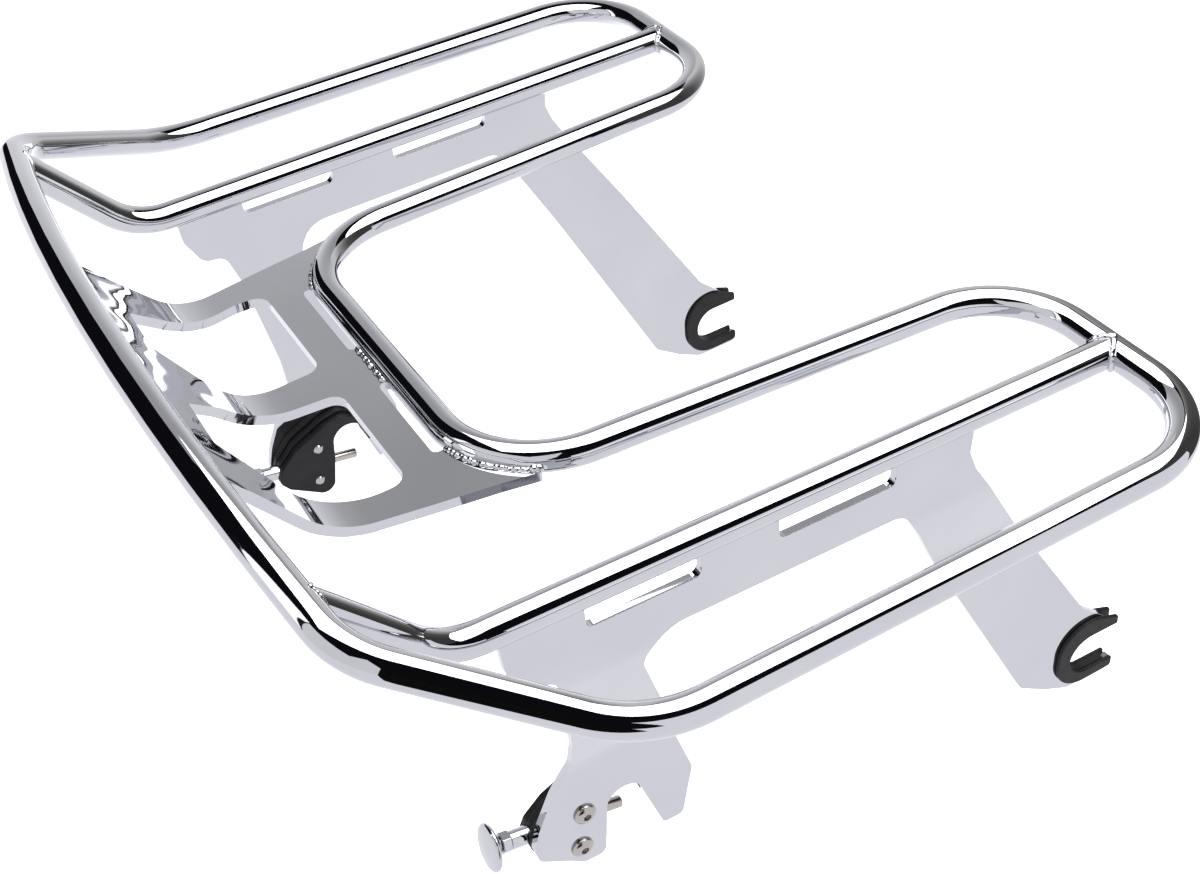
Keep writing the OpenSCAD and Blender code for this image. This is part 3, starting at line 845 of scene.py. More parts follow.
def slab(name: str, outline: Outline, from_y: float, to_y: float) -> bpy.types.Object:
    """Draws an outline out into a flat slab.

    Args:
        name: The piece's name.
        outline: The outline.
        from_y: The inboard face, in millimetres.
        to_y: The outboard face, in millimetres.

    Returns:
        The slab.
    """
    piece = face_of(name, outline.points(), from_y)
    edit(piece)
    bpy.ops.mesh.extrude_region_move(TRANSFORM_OT_translate={"value": (0.0, (to_y - from_y) * MM, 0.0)})
    bpy.ops.mesh.select_all(action="SELECT")
    bpy.ops.mesh.normals_make_consistent(inside=False)
    bpy.ops.object.mode_set(mode="OBJECT")
    return piece


def ease(piece: bpy.types.Object, width: float, steps: int = 3, sharp: float = math.radians(40)) -> None:
    """Rounds a piece's sharp edges and shades it.

    Args:
        piece: The piece.
        width: The rounding's width.
        steps: How many faces the rounding has.
        sharp: Edges sharper than this are rounded.
    """
    apply_modifier(piece, "BEVEL", width=width, segments=steps, limit_method="ANGLE", angle_limit=sharp,
                   use_clamp_overlap=True, miter_outer="MITER_ARC")
    smooth(piece, sharp)
    apply_modifier(piece, "WEIGHTED_NORMAL", keep_sharp=True, weight=50)


def join(pieces: list[bpy.types.Object]) -> bpy.types.Object:
    """Joins pieces into the first one."""
    activate(pieces[0])
    for piece in pieces[1:]:
        piece.select_set(True)
    bpy.ops.object.join()
    return bpy.context.object


def turned(name: str, profile: Sequence[tuple[float, float]], steps: int = 72) -> bpy.types.Object:
    """Spins a profile round Z into a turned piece.

    Args:
        name: The piece's name.
        profile: Radius and height in millimetres, starting and ending on the axis.
        steps: How many faces it has round its axis.

    Returns:
        The turned piece, standing on the origin.
    """
    piece = flat_loop(name, [Vector((radius, 0.0, height)) * MM for radius, height in profile], "NOTHING")
    edit(piece, "DESELECT")
    bpy.ops.object.mode_set(mode="OBJECT")
    piece.data.vertices[0].select = piece.data.vertices[len(profile) - 1].select = True
    bpy.ops.object.mode_set(mode="EDIT")
    bpy.ops.mesh.select_mode(type="EDGE")
    bpy.ops.mesh.delete(type="EDGE")
    bpy.ops.mesh.select_mode(type="VERT")
    bpy.ops.mesh.select_all(action="SELECT")
    bpy.ops.mesh.spin(steps=steps, angle=math.tau, center=(0.0, 0.0, 0.0), axis=(0.0, 0.0, 1.0))
    bpy.ops.mesh.select_all(action="SELECT")
    bpy.ops.mesh.remove_doubles(threshold=0.01 * MM)
    bpy.ops.mesh.normals_make_consistent(inside=False)
    bpy.ops.object.mode_set(mode="OBJECT")
    return piece


@dataclass
class CentreSheet:
    """The bent centre sheet, with its cut edges eased before plating."""

    finish: bpy.types.Material
    edge_ease: float = 0.9 * MM
    sharp: float = math.radians(38)
    trim_x: float = -131.5 * MM
    bend_centre: tuple[float, float, float] = (-54.0 * MM, 0.0, 39.0 * MM)
    bend_radii: tuple[float, float] = (40.0 * MM, 45.5 * MM)
    bend_turn: float = math.radians(50)
    bend_steps: int = 24

    def round_bend(self, sheet: bpy.types.Object) -> None:
        """Cuts the bend into narrow strips and puts them on its true arc.

        Args:
            sheet: The copy of the sheet.
        """
        edit(sheet)
        for k in range(self.bend_steps + 1):
            angle = self.bend_turn * k / self.bend_steps
            bpy.ops.mesh.select_all(action="SELECT")
            bpy.ops.mesh.bisect(plane_co=self.bend_centre, plane_no=(math.cos(angle), 0.0, -math.sin(angle)))
        bpy.ops.mesh.select_all(action="SELECT")
        bpy.ops.mesh.remove_doubles(threshold=0.03 * MM)
        bpy.ops.object.mode_set(mode="OBJECT")
        centre = Vector(self.bend_centre)
        for vertex in sheet.data.vertices:
            arm = vertex.co - centre
            arm.y = 0.0
            if 0.0 < math.atan2(-arm.x, -arm.z) < self.bend_turn:
                for radius in self.bend_radii:
                    if abs(arm.length - radius) < 0.6 * MM:
                        vertex.co = centre + arm.normalized() * radius + vertex.co.y * ACROSS

    def build(self) -> None:
        """Copies the sheet's node and rounds its cut edges."""
        sheet = cad_copy("centre_plate", "centre_sheet_eased")
        edit(sheet)
        bpy.ops.mesh.bisect(plane_co=(self.trim_x, 0.0, 0.0), plane_no=(1.0, 0.0, 0.0), clear_inner=True,
                            use_fill=True)
        bpy.ops.object.mode_set(mode="OBJECT")
        self.round_bend(sheet)
        ease(sheet, self.edge_ease, 4, self.sharp)
        hand_in(sheet, "rack", self.finish, ("centre_plate",))


@dataclass
class SidePlates:
    """The hanging side plates: cut outline, softly creased arms and eased edges."""

    finish: bpy.types.Material
    outer_y: float = 5.5
    thickness: float = 4.5
    crease_z: float = 46.0
    crease_half: float = 5.5
    arm_step: float = 12.5
    arm_low_z: float = 97.0
    leg_step: float = 25.3
    leg_low_z: float = 135.0
    split_x: float = 100.0
    edge_ease: float = 0.6 * MM
    notch: tuple[float, float, float] = (20.5, 178.0, 10.5)
    mouth: tuple[float, float, float] = (317.0, 234.0, 16.5)
    rear_edge: tuple[tuple[float, float, float], ...] = (
        (-43, 3, 0), (-41.5, 22, 5), (-33, 39, 9), (-20, 40.5, 8), (-14, 60, 12), (-7, 114, 40), (-7, 133, 12),
        (-18, 149, 30), (-27.7, 170, 30), (-31.5, 184, 10), (-29.5, 193, 5), (-24, 197, 5), (-13, 204.6, 6),
        (-5, 211, 5), (7, 211, 5), (9, 190, 3))
    front_edge: tuple[tuple[float, float, float], ...] = (
        (41.5, 211.5, 3), (53, 211.5, 4), (60, 178, 14), (52, 150, 30), (45, 119, 30), (24.5, 56, 18),
        (37, 39.5, 20), (167, 39.5, 12), (181, 64, 20), (269, 237, 6), (288, 250, 20), (305, 258.5, 10),
        (337.5, 258.5, 5), (337.5, 250.5, 1.5))
    top_edge: tuple[tuple[float, float, float], ...] = (
        (331, 217.5, 1), (328.5, 212.5, 3), (309, 195, 8), (209, 31, 5), (204.4, 19, 6), (205.6, 3, 0),
        (161, 3, 0), (161, 17.5, 4), (97, 17.5, 4), (97, 3, 0), (56, 3, 0), (56, 17.5, 4), (-2, 17.5, 4),
        (-2, 3, 0))

    def outline(self) -> Outline:
        """Gives the plate's whole outline."""
        x, z, radius = self.notch
        notch = arc(x, z, radius, 180.0, 360.0)
        x, z, radius = self.mouth
        mouth = arc(x, z, radius, 90.0, 270.0)
        return Outline(self.rear_edge + notch + self.front_edge + mouth + self.top_edge)

    def shift(self, x: float, depth: float) -> float:
        """Gives how far inboard a point lies for its bend.

        Args:
            x: The point's place along the rail in millimetres.
            depth: Its depth below the rail in millimetres.

        Returns:
            The step inboard in millimetres.
        """
        step, low = (self.leg_step, self.leg_low_z) if x < self.split_x else (self.arm_step, self.arm_low_z)
        slope = step / (low - self.crease_z)
        total = 0.0
        for place, sense in ((self.crease_z, 1.0), (low, -1.0)):
            past = depth - place
            if past >= self.crease_half:
                total += sense * slope * past
            elif past > -self.crease_half:
                total += sense * slope * (past + self.crease_half) ** 2 / (4 * self.crease_half)
        return total

    def build_plate(self, side: Side) -> bpy.types.Object:
        """Cuts, bends and thickens one plate.

        Args:
            side: The side of the rack.

        Returns:
            The plate.
        """
        plate = face_of(side.node("side_plate_bent"), self.outline().points(), self.outer_y)
        edit(plate)
        for place in (self.crease_z, self.arm_low_z, self.leg_low_z):
            for k in range(-4, 5):
                bpy.ops.mesh.select_all(action="SELECT")
                bpy.ops.mesh.bisect(plane_co=(0.0, 0.0, -(place + k * self.crease_half / 4) * MM),
                                    plane_no=(0.0, 0.0, 1.0))
        bpy.ops.mesh.select_all(action="SELECT")
        bpy.ops.object.mode_set(mode="OBJECT")
        for vertex in plate.data.vertices:
            vertex.co.y -= self.shift(vertex.co.x / MM, -vertex.co.z / MM) * MM
        edit(plate)
        bpy.ops.mesh.extrude_region_move(
            TRANSFORM_OT_translate={"value": (0.0, -self.thickness * MM, 0.0)})
        bpy.ops.mesh.select_all(action="SELECT")
        bpy.ops.mesh.normals_make_consistent(inside=False)
        bpy.ops.object.mode_set(mode="OBJECT")
        ease(plate, self.edge_ease)
        RailFrame.settle(plate, side)
        return hand_in(plate, "rack", self.finish, (side.node("side_plate"),))

    def build(self) -> None:
        """Builds both side plates."""
        for side in Side:
            self.build_plate(side)


@dataclass
class HookGrommets:
    """The rubber channels that line the front hooks: two flanges and the web between."""

    finish: bpy.types.Material
    centre: tuple[float, float] = (317.0, 234.0)
    opening_r: float = 14.0
    wall: float = 2.5
    plate_y: tuple[float, float] = (-11.5, -7.0)
    flange: float = 2.5
    lip_round: float = 0.9 * MM
    tip_x: float = 336.0
    flange_outline: tuple[tuple[float, float, float], ...] = (
        (336.0, 213.8, 2.2), (319, 206.8, 16), (294.0, 207.5, 21), (294.0, 256.2, 21), (319, 255.8, 20),
        (336.0, 255.4, 2.5))

    def mouth(self) -> tuple[tuple[float, float, float], ...]:
        """Gives the opening's outline, from its lower lip round to its upper lip."""
        x, z = self.centre
        lower, upper = (self.tip_x, z + self.opening_r, 1.2), (self.tip_x, z - self.opening_r, 1.2)
        return (lower,) + arc(x, z, self.opening_r, 90.0, 270.0) + (upper,)

    def build_grommet(self, side: Side) -> bpy.types.Object:
        """Moulds one grommet.

        Args:
            side: The side of the rack.

        Returns:
            The grommet.
        """
        name = side.node("hook_grommet_moulded")
        low, high = self.plate_y
        x, z = self.centre
        outer = self.opening_r + self.wall
        web = ((self.tip_x - 5, z - outer, 0.0),) + arc(x, z, outer, 270.0, 90.0) \
            + ((self.tip_x - 5, z + outer, 0.0),)
        inner = ((self.tip_x - 5, z + self.opening_r, 0.0),) + arc(x, z, self.opening_r, 90.0, 270.0) \
            + ((self.tip_x - 5, z - self.opening_r, 0.0),)
        ring = Outline(web + inner)
        flange = Outline(self.flange_outline + self.mouth())
        pieces = [slab(name, flange, high, high + self.flange),
                  slab(name, flange, low - self.flange, low),
                  slab(name, ring, low, high)]
        for piece in pieces[:2]:
            ease(piece, self.lip_round, 4)
        grommet = join(pieces)
        smooth(grommet, math.radians(35))
        RailFrame.settle(grommet, side)
        return hand_in(grommet, "rack", self.finish, (side.node("hook_grommet"),))

    def build(self) -> None:
        """Builds both grommets."""
        for side in Side:
            self.build_grommet(side)


@dataclass
class Latches:
    """Latch bodies, screws, guide bushes, springs, pins and knobs."""

    finishes: Finishes
    plate_y: float = -24.3
    outer_y: float = -19.8
    layers: tuple[tuple[float, float], ...] = ((5.0, 0.0), (5.0, 2.2), (4.8, 4.4))
    body_round: float = 0.7 * MM
    rear_edge: tuple[tuple[float, float, float], ...] = (
        (7.2, 186, 40), (3.5, 206, 6), (-3, 211, 7), (-14, 203.5, 12), (-26, 195.5, 5), (-32, 187.5, 6))
    top_edge: tuple[tuple[float, float, float], ...] = (
        (-28, 176, 8), (-17, 163.5, 9), (4, 153.5, 14), (18, 150.5, 10), (27.5, 158, 8), (31.5, 169, 10),
        (36.5, 182, 2), (31.5, 182, 1))
    arch: tuple[float, float, float] = (19.3, 175.0, 11.0)
    screws: tuple[tuple[str, float, float], ...] = (
        ("upper_latch_screw", -2.6, 173.0), ("lower_latch_screw", -6.0, 197.5))
    tip: tuple[float, float, float] = (23.252, -31.7, 194.0)
    tilt: float = math.radians(11)
    pin_profile: tuple[tuple[float, float], ...] = (
        (0, 0), (2.3, 0), (2.7, 0.12), (3.1, 0.5), (3.2, 0.9), (3.2, 22.3), (3.9, 22.3), (3.9, 24.3),
        (2.2, 24.3), (2.2, 73.9), (0, 73.9))
    knob_profile: tuple[tuple[float, float], ...] = (
        (0, 69.8), (4.0, 69.8), (4.25, 70.1), (4.25, 71.2), (4.5, 72.0), (5.3, 72.6), (7.5, 73.0),
        (10.2, 73.2), (11.6, 73.5), (12.3, 74.1), (12.5, 74.8), (12.4, 75.4), (11.9, 76.0), (11.0, 76.35),
        (9.5, 76.6), (7.5, 76.85), (5.0, 77.1), (2.5, 77.25), (0, 77.3))
    barrel_profile: tuple[tuple[float, float], ...] = (
        (0, 46.2), (4.0, 46.2), (4.0, 51.8), (4.6, 52.0), (4.9, 52.3), (4.9, 64.2), (4.6, 64.5), (0, 64.5))

    def body_outline(self, drop: float) -> Outline:
        """Gives one layer's outline with its upper edge lowered."""
        top = tuple((x, z + (drop if z < 172 else drop / 2 if z < 180 and x < 0 else 0.0), r)
                    for x, z, r in self.top_edge)
        x, z, radius = self.arch
        return Outline(self.rear_edge + top + arc(x, z, radius, 360.0, 180.0))

    def build_body(self, side: Side) -> None:
        """Moulds a latch body with two ledges along its upper edge.

        Args:
            side: The side of the rack.
        """
        name = side.node("latch_body_moulded")
        pieces, y = [], self.plate_y
        for depth, drop in self.layers:
            piece = slab(name, self.body_outline(drop), y - depth - 0.02, y)
            ease(piece, self.body_round, 3)
            pieces.append(piece)
            y -= depth
        body = join(pieces)
        RailFrame.settle(body, side)
        hand_in(body, "rack", self.finishes.plastic, (side.node("latch_body"),))

    def build_screw(self, side: Side, node: str, x: float, z: float) -> None:
        """Turns a button-head screw and sinks its hex socket.

        Args:
            side: The side of the rack.
            node: The CAD part that it stands for.
            x: The screw's place forward, in millimetres.
            z: Its depth, in millimetres.
        """
        dome = [(6.05 * math.cos(a) if a else 6.05, 0.5 + 2.9 * math.sin(a))
                for a in (math.radians(d) for d in range(0, 76, 5))]
        profile = [(0.0, -20.5), (2.4, -20.5), (3.2, -19.7), (3.2, 0.0), (5.8, 0.0), (6.05, 0.25)]
        screw = turned(side.node(f"{node}_turned"), profile + dome + [(0.9, 3.42), (0.0, 3.42)])
        deselect()
        bpy.ops.mesh.primitive_cylinder_add(vertices=6, radius=2.35 * MM, depth=4.4 * MM,
                                            location=(0.0, 0.0, 3.4 * MM))
        cutter = bpy.context.object
        apply_modifier(screw, "BOOLEAN", operation="DIFFERENCE", object=cutter, solver="EXACT")
        bpy.data.objects.remove(cutter, do_unlink=True)
        smooth(screw, math.radians(35))
        activate(screw)
        screw.rotation_euler = (-math.pi / 2, 0.0, 0.0)
        screw.location = Vector((x, self.outer_y, -z)) * MM
        place(screw)
        RailFrame.settle(screw, side)
        hand_in(screw, "rack", self.finishes.screw, (side.node(node),))

    def on_axis(self, obj: bpy.types.Object, side: Side) -> bpy.types.Object:
        """Lays a turned piece along the plunger's axis, its Z running back from the pin's tip."""
        x, y, z = self.tip
        obj.rotation_euler = (0.0, self.tilt - math.pi / 2, 0.0)
        obj.location = Vector((x, y, -z)) * MM
        place(obj)
        return RailFrame.settle(obj, side)

    def build_plunger(self, side: Side) -> None:
        """Turns a plunger's pin and knob and its guide bush.

        Args:
            side: The side of the rack.
        """
        pin = turned(side.node("plunger_pin_turned"), self.pin_profile, 48)
        smooth(pin)
        self.on_axis(pin, side)
        hand_in(pin, side.node("plunger"), self.finishes.pin, (side.node("plunger_pin"),))
        knob = turned(side.node("plunger_knob_turned"), self.knob_profile, 96)
        smooth(knob, math.radians(40))
        self.on_axis(knob, side)
        hand_in(knob, side.node("plunger"), self.finishes.knob, (side.node("plunger_knob"),))
        barrel = turned(side.node("plunger_bush_turned"), self.barrel_profile, 64)
        deselect()
        bpy.ops.mesh.primitive_cylinder_add(vertices=6, radius=5.9 * MM, depth=4.9 * MM,
                                            location=(0.0, 0.0, 67.0 * MM))
        collar = bpy.context.object
        place(collar)
        ease(collar, 0.4 * MM)
        smooth(barrel)
        bush = join([barrel, collar])
        self.on_axis(bush, side)
        hand_in(bush, "rack", self.finishes.knob, (side.node("plunger_bush"),))

    def build(self) -> None:
        """Builds and dresses both latches."""
        for side in Side:
            self.build_body(side)
            for node, x, z in self.screws:
                self.build_screw(side, node, x, z)
            self.build_plunger(side)
            spring = frame["nodes"][side.node("plunger_spring")]
            spring.data.materials.clear()
            spring.data.materials.append(self.finishes.spring)


@dataclass
class WeldBeads:
    """The rippled beads between tubes, sheet and plates, melted into one skin."""

    finish: bpy.types.Material
    tubes: "TubeFrame"
    voxel: float = 0.42 * MM
    melt: int = 3
    rail_seat: float = 0.1 * MM
    rail_front_size: float = 1.8 * MM
    rail_rear_size: float = 1.15 * MM
    reach: float = 7.9 * MM
    corner_z: float = -1.2 * MM
    middle_half: float = 15.5 * MM
    middle_size: float = 2.2 * MM
    corner_centre: tuple[float, float] = (55.3 * MM, 63.7 * MM)
    corner_angles: tuple[float, float] = (math.radians(15.5), math.radians(58.0))
    corner_steps: int = 39
    corner_size: float = 1.9 * MM
    lump_size: float = 2.9 * MM
    sheet_rise: float = math.radians(50)
    sheet_flat: float = 54.0 * MM
    sheet_bend: float = 40.0 * MM
    sheet_drop: float = 1.0 * MM
    bar_half: float = 93.0 * MM
    bar_steps: int = 52
    bar_size: float = 2.0 * MM
    tab_y: float = 0.8 * MM
    tab_drop: float = 1.0 * MM
    tab_size: float = 1.9 * MM
    tabs: tuple[tuple[float, float], ...] = ((-42.0, -3.0), (57.0, 96.0), (162.0, 204.0))

    def string(self, name: str, points: list[Vector], radius: float, valley: float = 0.84,
               wobble: float = 0.35 * MM) -> bpy.types.Object:
        """Lays balls of metal along a path and melts them together.

        Args:
            name: The bead's name.
            points: The places of the balls.
            radius: The balls' radius.
            valley: The smaller balls' share of that radius.
            wobble: How far the balls stray from the path.

        Returns:
            The bead.
        """
        deselect()
        bpy.ops.mesh.primitive_ico_sphere_add(subdivisions=2, radius=radius, location=points[0])
        bead = bpy.context.object
        bead.name = bead.data.name = name
        place(bead)
        bpy.ops.object.mode_set(mode="EDIT")
        for i, at in enumerate(points[1:], 1):
            size = radius * (1.0 if i % 2 == 0 else valley) * (1.0 + 0.10 * math.sin(2.3 * i + len(name)))
            stray = Vector((math.sin(1.7 * i), math.cos(2.9 * i), math.sin(3.1 * i + 1.0))) * wobble
            bpy.ops.mesh.primitive_ico_sphere_add(subdivisions=2, radius=size, location=at + stray)
        bpy.ops.object.mode_set(mode="OBJECT")
        apply_modifier(bead, "REMESH", mode="VOXEL", voxel_size=self.voxel, use_smooth_shade=True)
        apply_modifier(bead, "SMOOTH", factor=0.5, iterations=self.melt)
        return bead

    @staticmethod
    def along(a: Vector, b: Vector, pitch: float = 1.7 * MM) -> list[Vector]:
        """Spaces places evenly between two points."""
        count = max(2, math.ceil((b - a).length / pitch))
        return [a.lerp(b, i / count) for i in range(count + 1)]

    def saddle(self, end: Vector, way: Vector, across: Vector, radius: float, steps: int = 44) -> list[Vector]:
        """Gives the line where a rail's end meets another tube of its size.

        Args:
            end: The point where the two axes meet.
            way: The direction that the rail leaves in.
            across: The other tube's direction.
            radius: The radius of the line about the rail's axis.
            steps: The number of places.

        Returns:
            The places round the rail.
        """
        up = across.cross(way).normalized()
        out = way.cross(up)
        places = []
        for i in range(steps):
            turn = math.tau * i / steps
            q = (up * math.cos(turn) + out * math.sin(turn)) * radius
            k = q.dot(across)
            lean = way.dot(across)
            places.append(end + q + way * (k / (1 - lean) if k > 0 else -k / (1 + lean)))
        return places

    def mirrored(self, points: list[Vector], side: Side) -> list[Vector]:
        """Gives the places on one side of the rack."""
        return [Vector((p.x, side.value * p.y, p.z)) for p in points]

    def build_rails(self) -> None:
        """Welds both ends of the middle rails."""
        tubes = self.tubes
        for name, node in (("rail_front_bead", "rail_front_welds"), ("rail_rear_bead", "rail_rear_welds")):
            beads = []
            for side in Side:
                front, kick, rear = tubes.rail_corners(Side.LEFT)
                if name == "rail_front_bead":
                    places = self.saddle(front, (kick - front).normalized(), ACROSS, tubes.tube_r + self.rail_seat)
                    size = self.rail_front_size
                else:
                    ahead = (tubes.bar_point(rear.y + 0.002) - tubes.bar_point(rear.y - 0.002)).normalized()
                    places = self.saddle(rear, (kick - rear).normalized(), ahead, tubes.tube_r - self.rail_seat)
                    size = self.rail_rear_size
                beads.append(self.string(name, self.mirrored(places, side), size, 0.97, 0.04 * MM))
            bead = join(beads)
            hand_in(bead, "rack", self.finish, (node,))

    def build_cross_tube(self) -> None:
        """Welds the sheet to the cross tube and its two corners."""
        ends = [Vector((-self.reach, y, self.corner_z)) for y in (self.middle_half, -self.middle_half)]
        beads = [self.string("cross_tube_bead", self.along(*ends), self.middle_size)]
        centre = Vector((*self.corner_centre, self.corner_z))
        radius = self.corner_centre[0] + self.reach
        first, last = self.corner_angles
        places = []
        for i in range(self.corner_steps + 1):
            angle = first + (last - first) * i / self.corner_steps
            places.append(centre + Vector((-math.cos(angle), math.sin(angle), 0.0)) * radius)
        for side in Side:
            beads.append(self.string("corner_bead", self.mirrored(places, side), self.corner_size))
            beads.append(self.string("corner_lump", self.mirrored(
                [places[-1], places[-1] + Vector((0.0012, 0.0008, 0.001)), places[-1]], side), self.lump_size))
        hand_in(join(beads), "rack", self.finish, ("cross_tube_welds",))

    def build_rear_bar(self) -> None:
        """Welds the sheet's upper edge to the rear bar."""
        tubes = self.tubes
        normal = Vector((math.sin(self.sheet_rise), 0.0, math.cos(self.sheet_rise)))
        down = Vector((normal.z, 0.0, -normal.x))
        middle = tubes.bar_point(0.0)
        knee = Vector((-self.sheet_flat - self.sheet_bend * normal.x, 0.0,
                       self.sheet_bend * (1 - normal.z) - self.sheet_drop))
        above = (middle - knee).dot(normal)
        reach = math.sqrt(tubes.tube_r ** 2 - above ** 2)
        places = []
        for i in range(-self.bar_steps, self.bar_steps + 1):
            y = self.bar_half * i / self.bar_steps
            places.append(tubes.bar_point(y) + down * reach - normal * above)
        bead = self.string("rear_bar_bead", places, self.bar_size)
        hand_in(bead, "rack", self.finish, ("rear_bar_welds",))

    def build_side_plates(self) -> None:
        """Welds the side plates' tabs to the rails."""
        under = math.sqrt(self.tubes.tube_r ** 2 - self.tab_drop ** 2)
        for side in Side:
            beads = []
            for tab in self.tabs:
                places = self.along(*(Vector((x * MM, self.tab_y, -under)) for x in tab))
                beads.append(self.string(side.node("plate_bead"), places, self.tab_size))
            bead = RailFrame.settle(join(beads), side)
            hand_in(bead, "rack", self.finish, (side.node("side_plate_welds"),))

    def build(self) -> None:
        """Lays every bead."""
        self.build_rails()
        self.build_cross_tube()
        self.build_rear_bar()
        self.build_side_plates()


def light_node(tree: bpy.types.NodeTree, colour: tuple[float, float, float], strength: float,
               kind: str = "ShaderNodeEmission") -> bpy.types.Node:
    """Adds a light's node.

    Args:
        tree: The material's or the world's tree.
        colour: The light's colour.
        strength: Its strength.
        kind: The kind of node.

    Returns:
        The node.
    """
    node = tree.nodes.new(kind)
    node.inputs["Color"].default_value = (*colour, 1.0)
    node.inputs["Strength"].default_value = strength
    return node


@dataclass(frozen=True)
class Shine:
    """A board's light: its colour, and its level along one axis of the board."""

    colour: tuple[float, float, float] = (1.0, 1.0, 1.0)
    levels: tuple[tuple[float, float], ...] = ((0.0, 1.0),)
    axis: str = "Z"

    def build(self, name: str) -> bpy.types.Material:
        """Makes the material.

        Args:
            name: The material's name.

        Returns:
            The material.
        """
        material = bpy.data.materials.new(name)
        material.use_nodes = True
        tree = material.node_tree
        tree.nodes.clear()
        light = light_node(tree, self.colour, self.levels[0][1])
        output = tree.nodes.new("ShaderNodeOutputMaterial")
        tree.links.new(light.outputs["Emission"], output.inputs["Surface"])
        if len(self.levels) > 1:
            place_node = tree.nodes.new("ShaderNodeTexCoord")
            split = tree.nodes.new("ShaderNodeSeparateXYZ")
            tree.links.new(place_node.outputs["Object"], split.inputs["Vector"])
            total = None
            for (low, before), (high, after) in zip(self.levels, self.levels[1:]):
                step = tree.nodes.new("ShaderNodeMapRange")
                for label, value in (("From Min", low), ("From Max", high), ("To Min", 0.0),
                                     ("To Max", after - before)):
                    step.inputs[label].default_value = value
                tree.links.new(split.outputs[self.axis], step.inputs["Value"])
                add = tree.nodes.new("ShaderNodeMath")
                add.operation = "ADD"
                add.inputs[0].default_value = self.levels[0][1]
                if total is not None:
                    tree.links.new(total, add.inputs[0])
                tree.links.new(step.outputs["Result"], add.inputs[1])
                total = add.outputs["Value"]
            tree.links.new(total, light.inputs["Strength"])
        return material


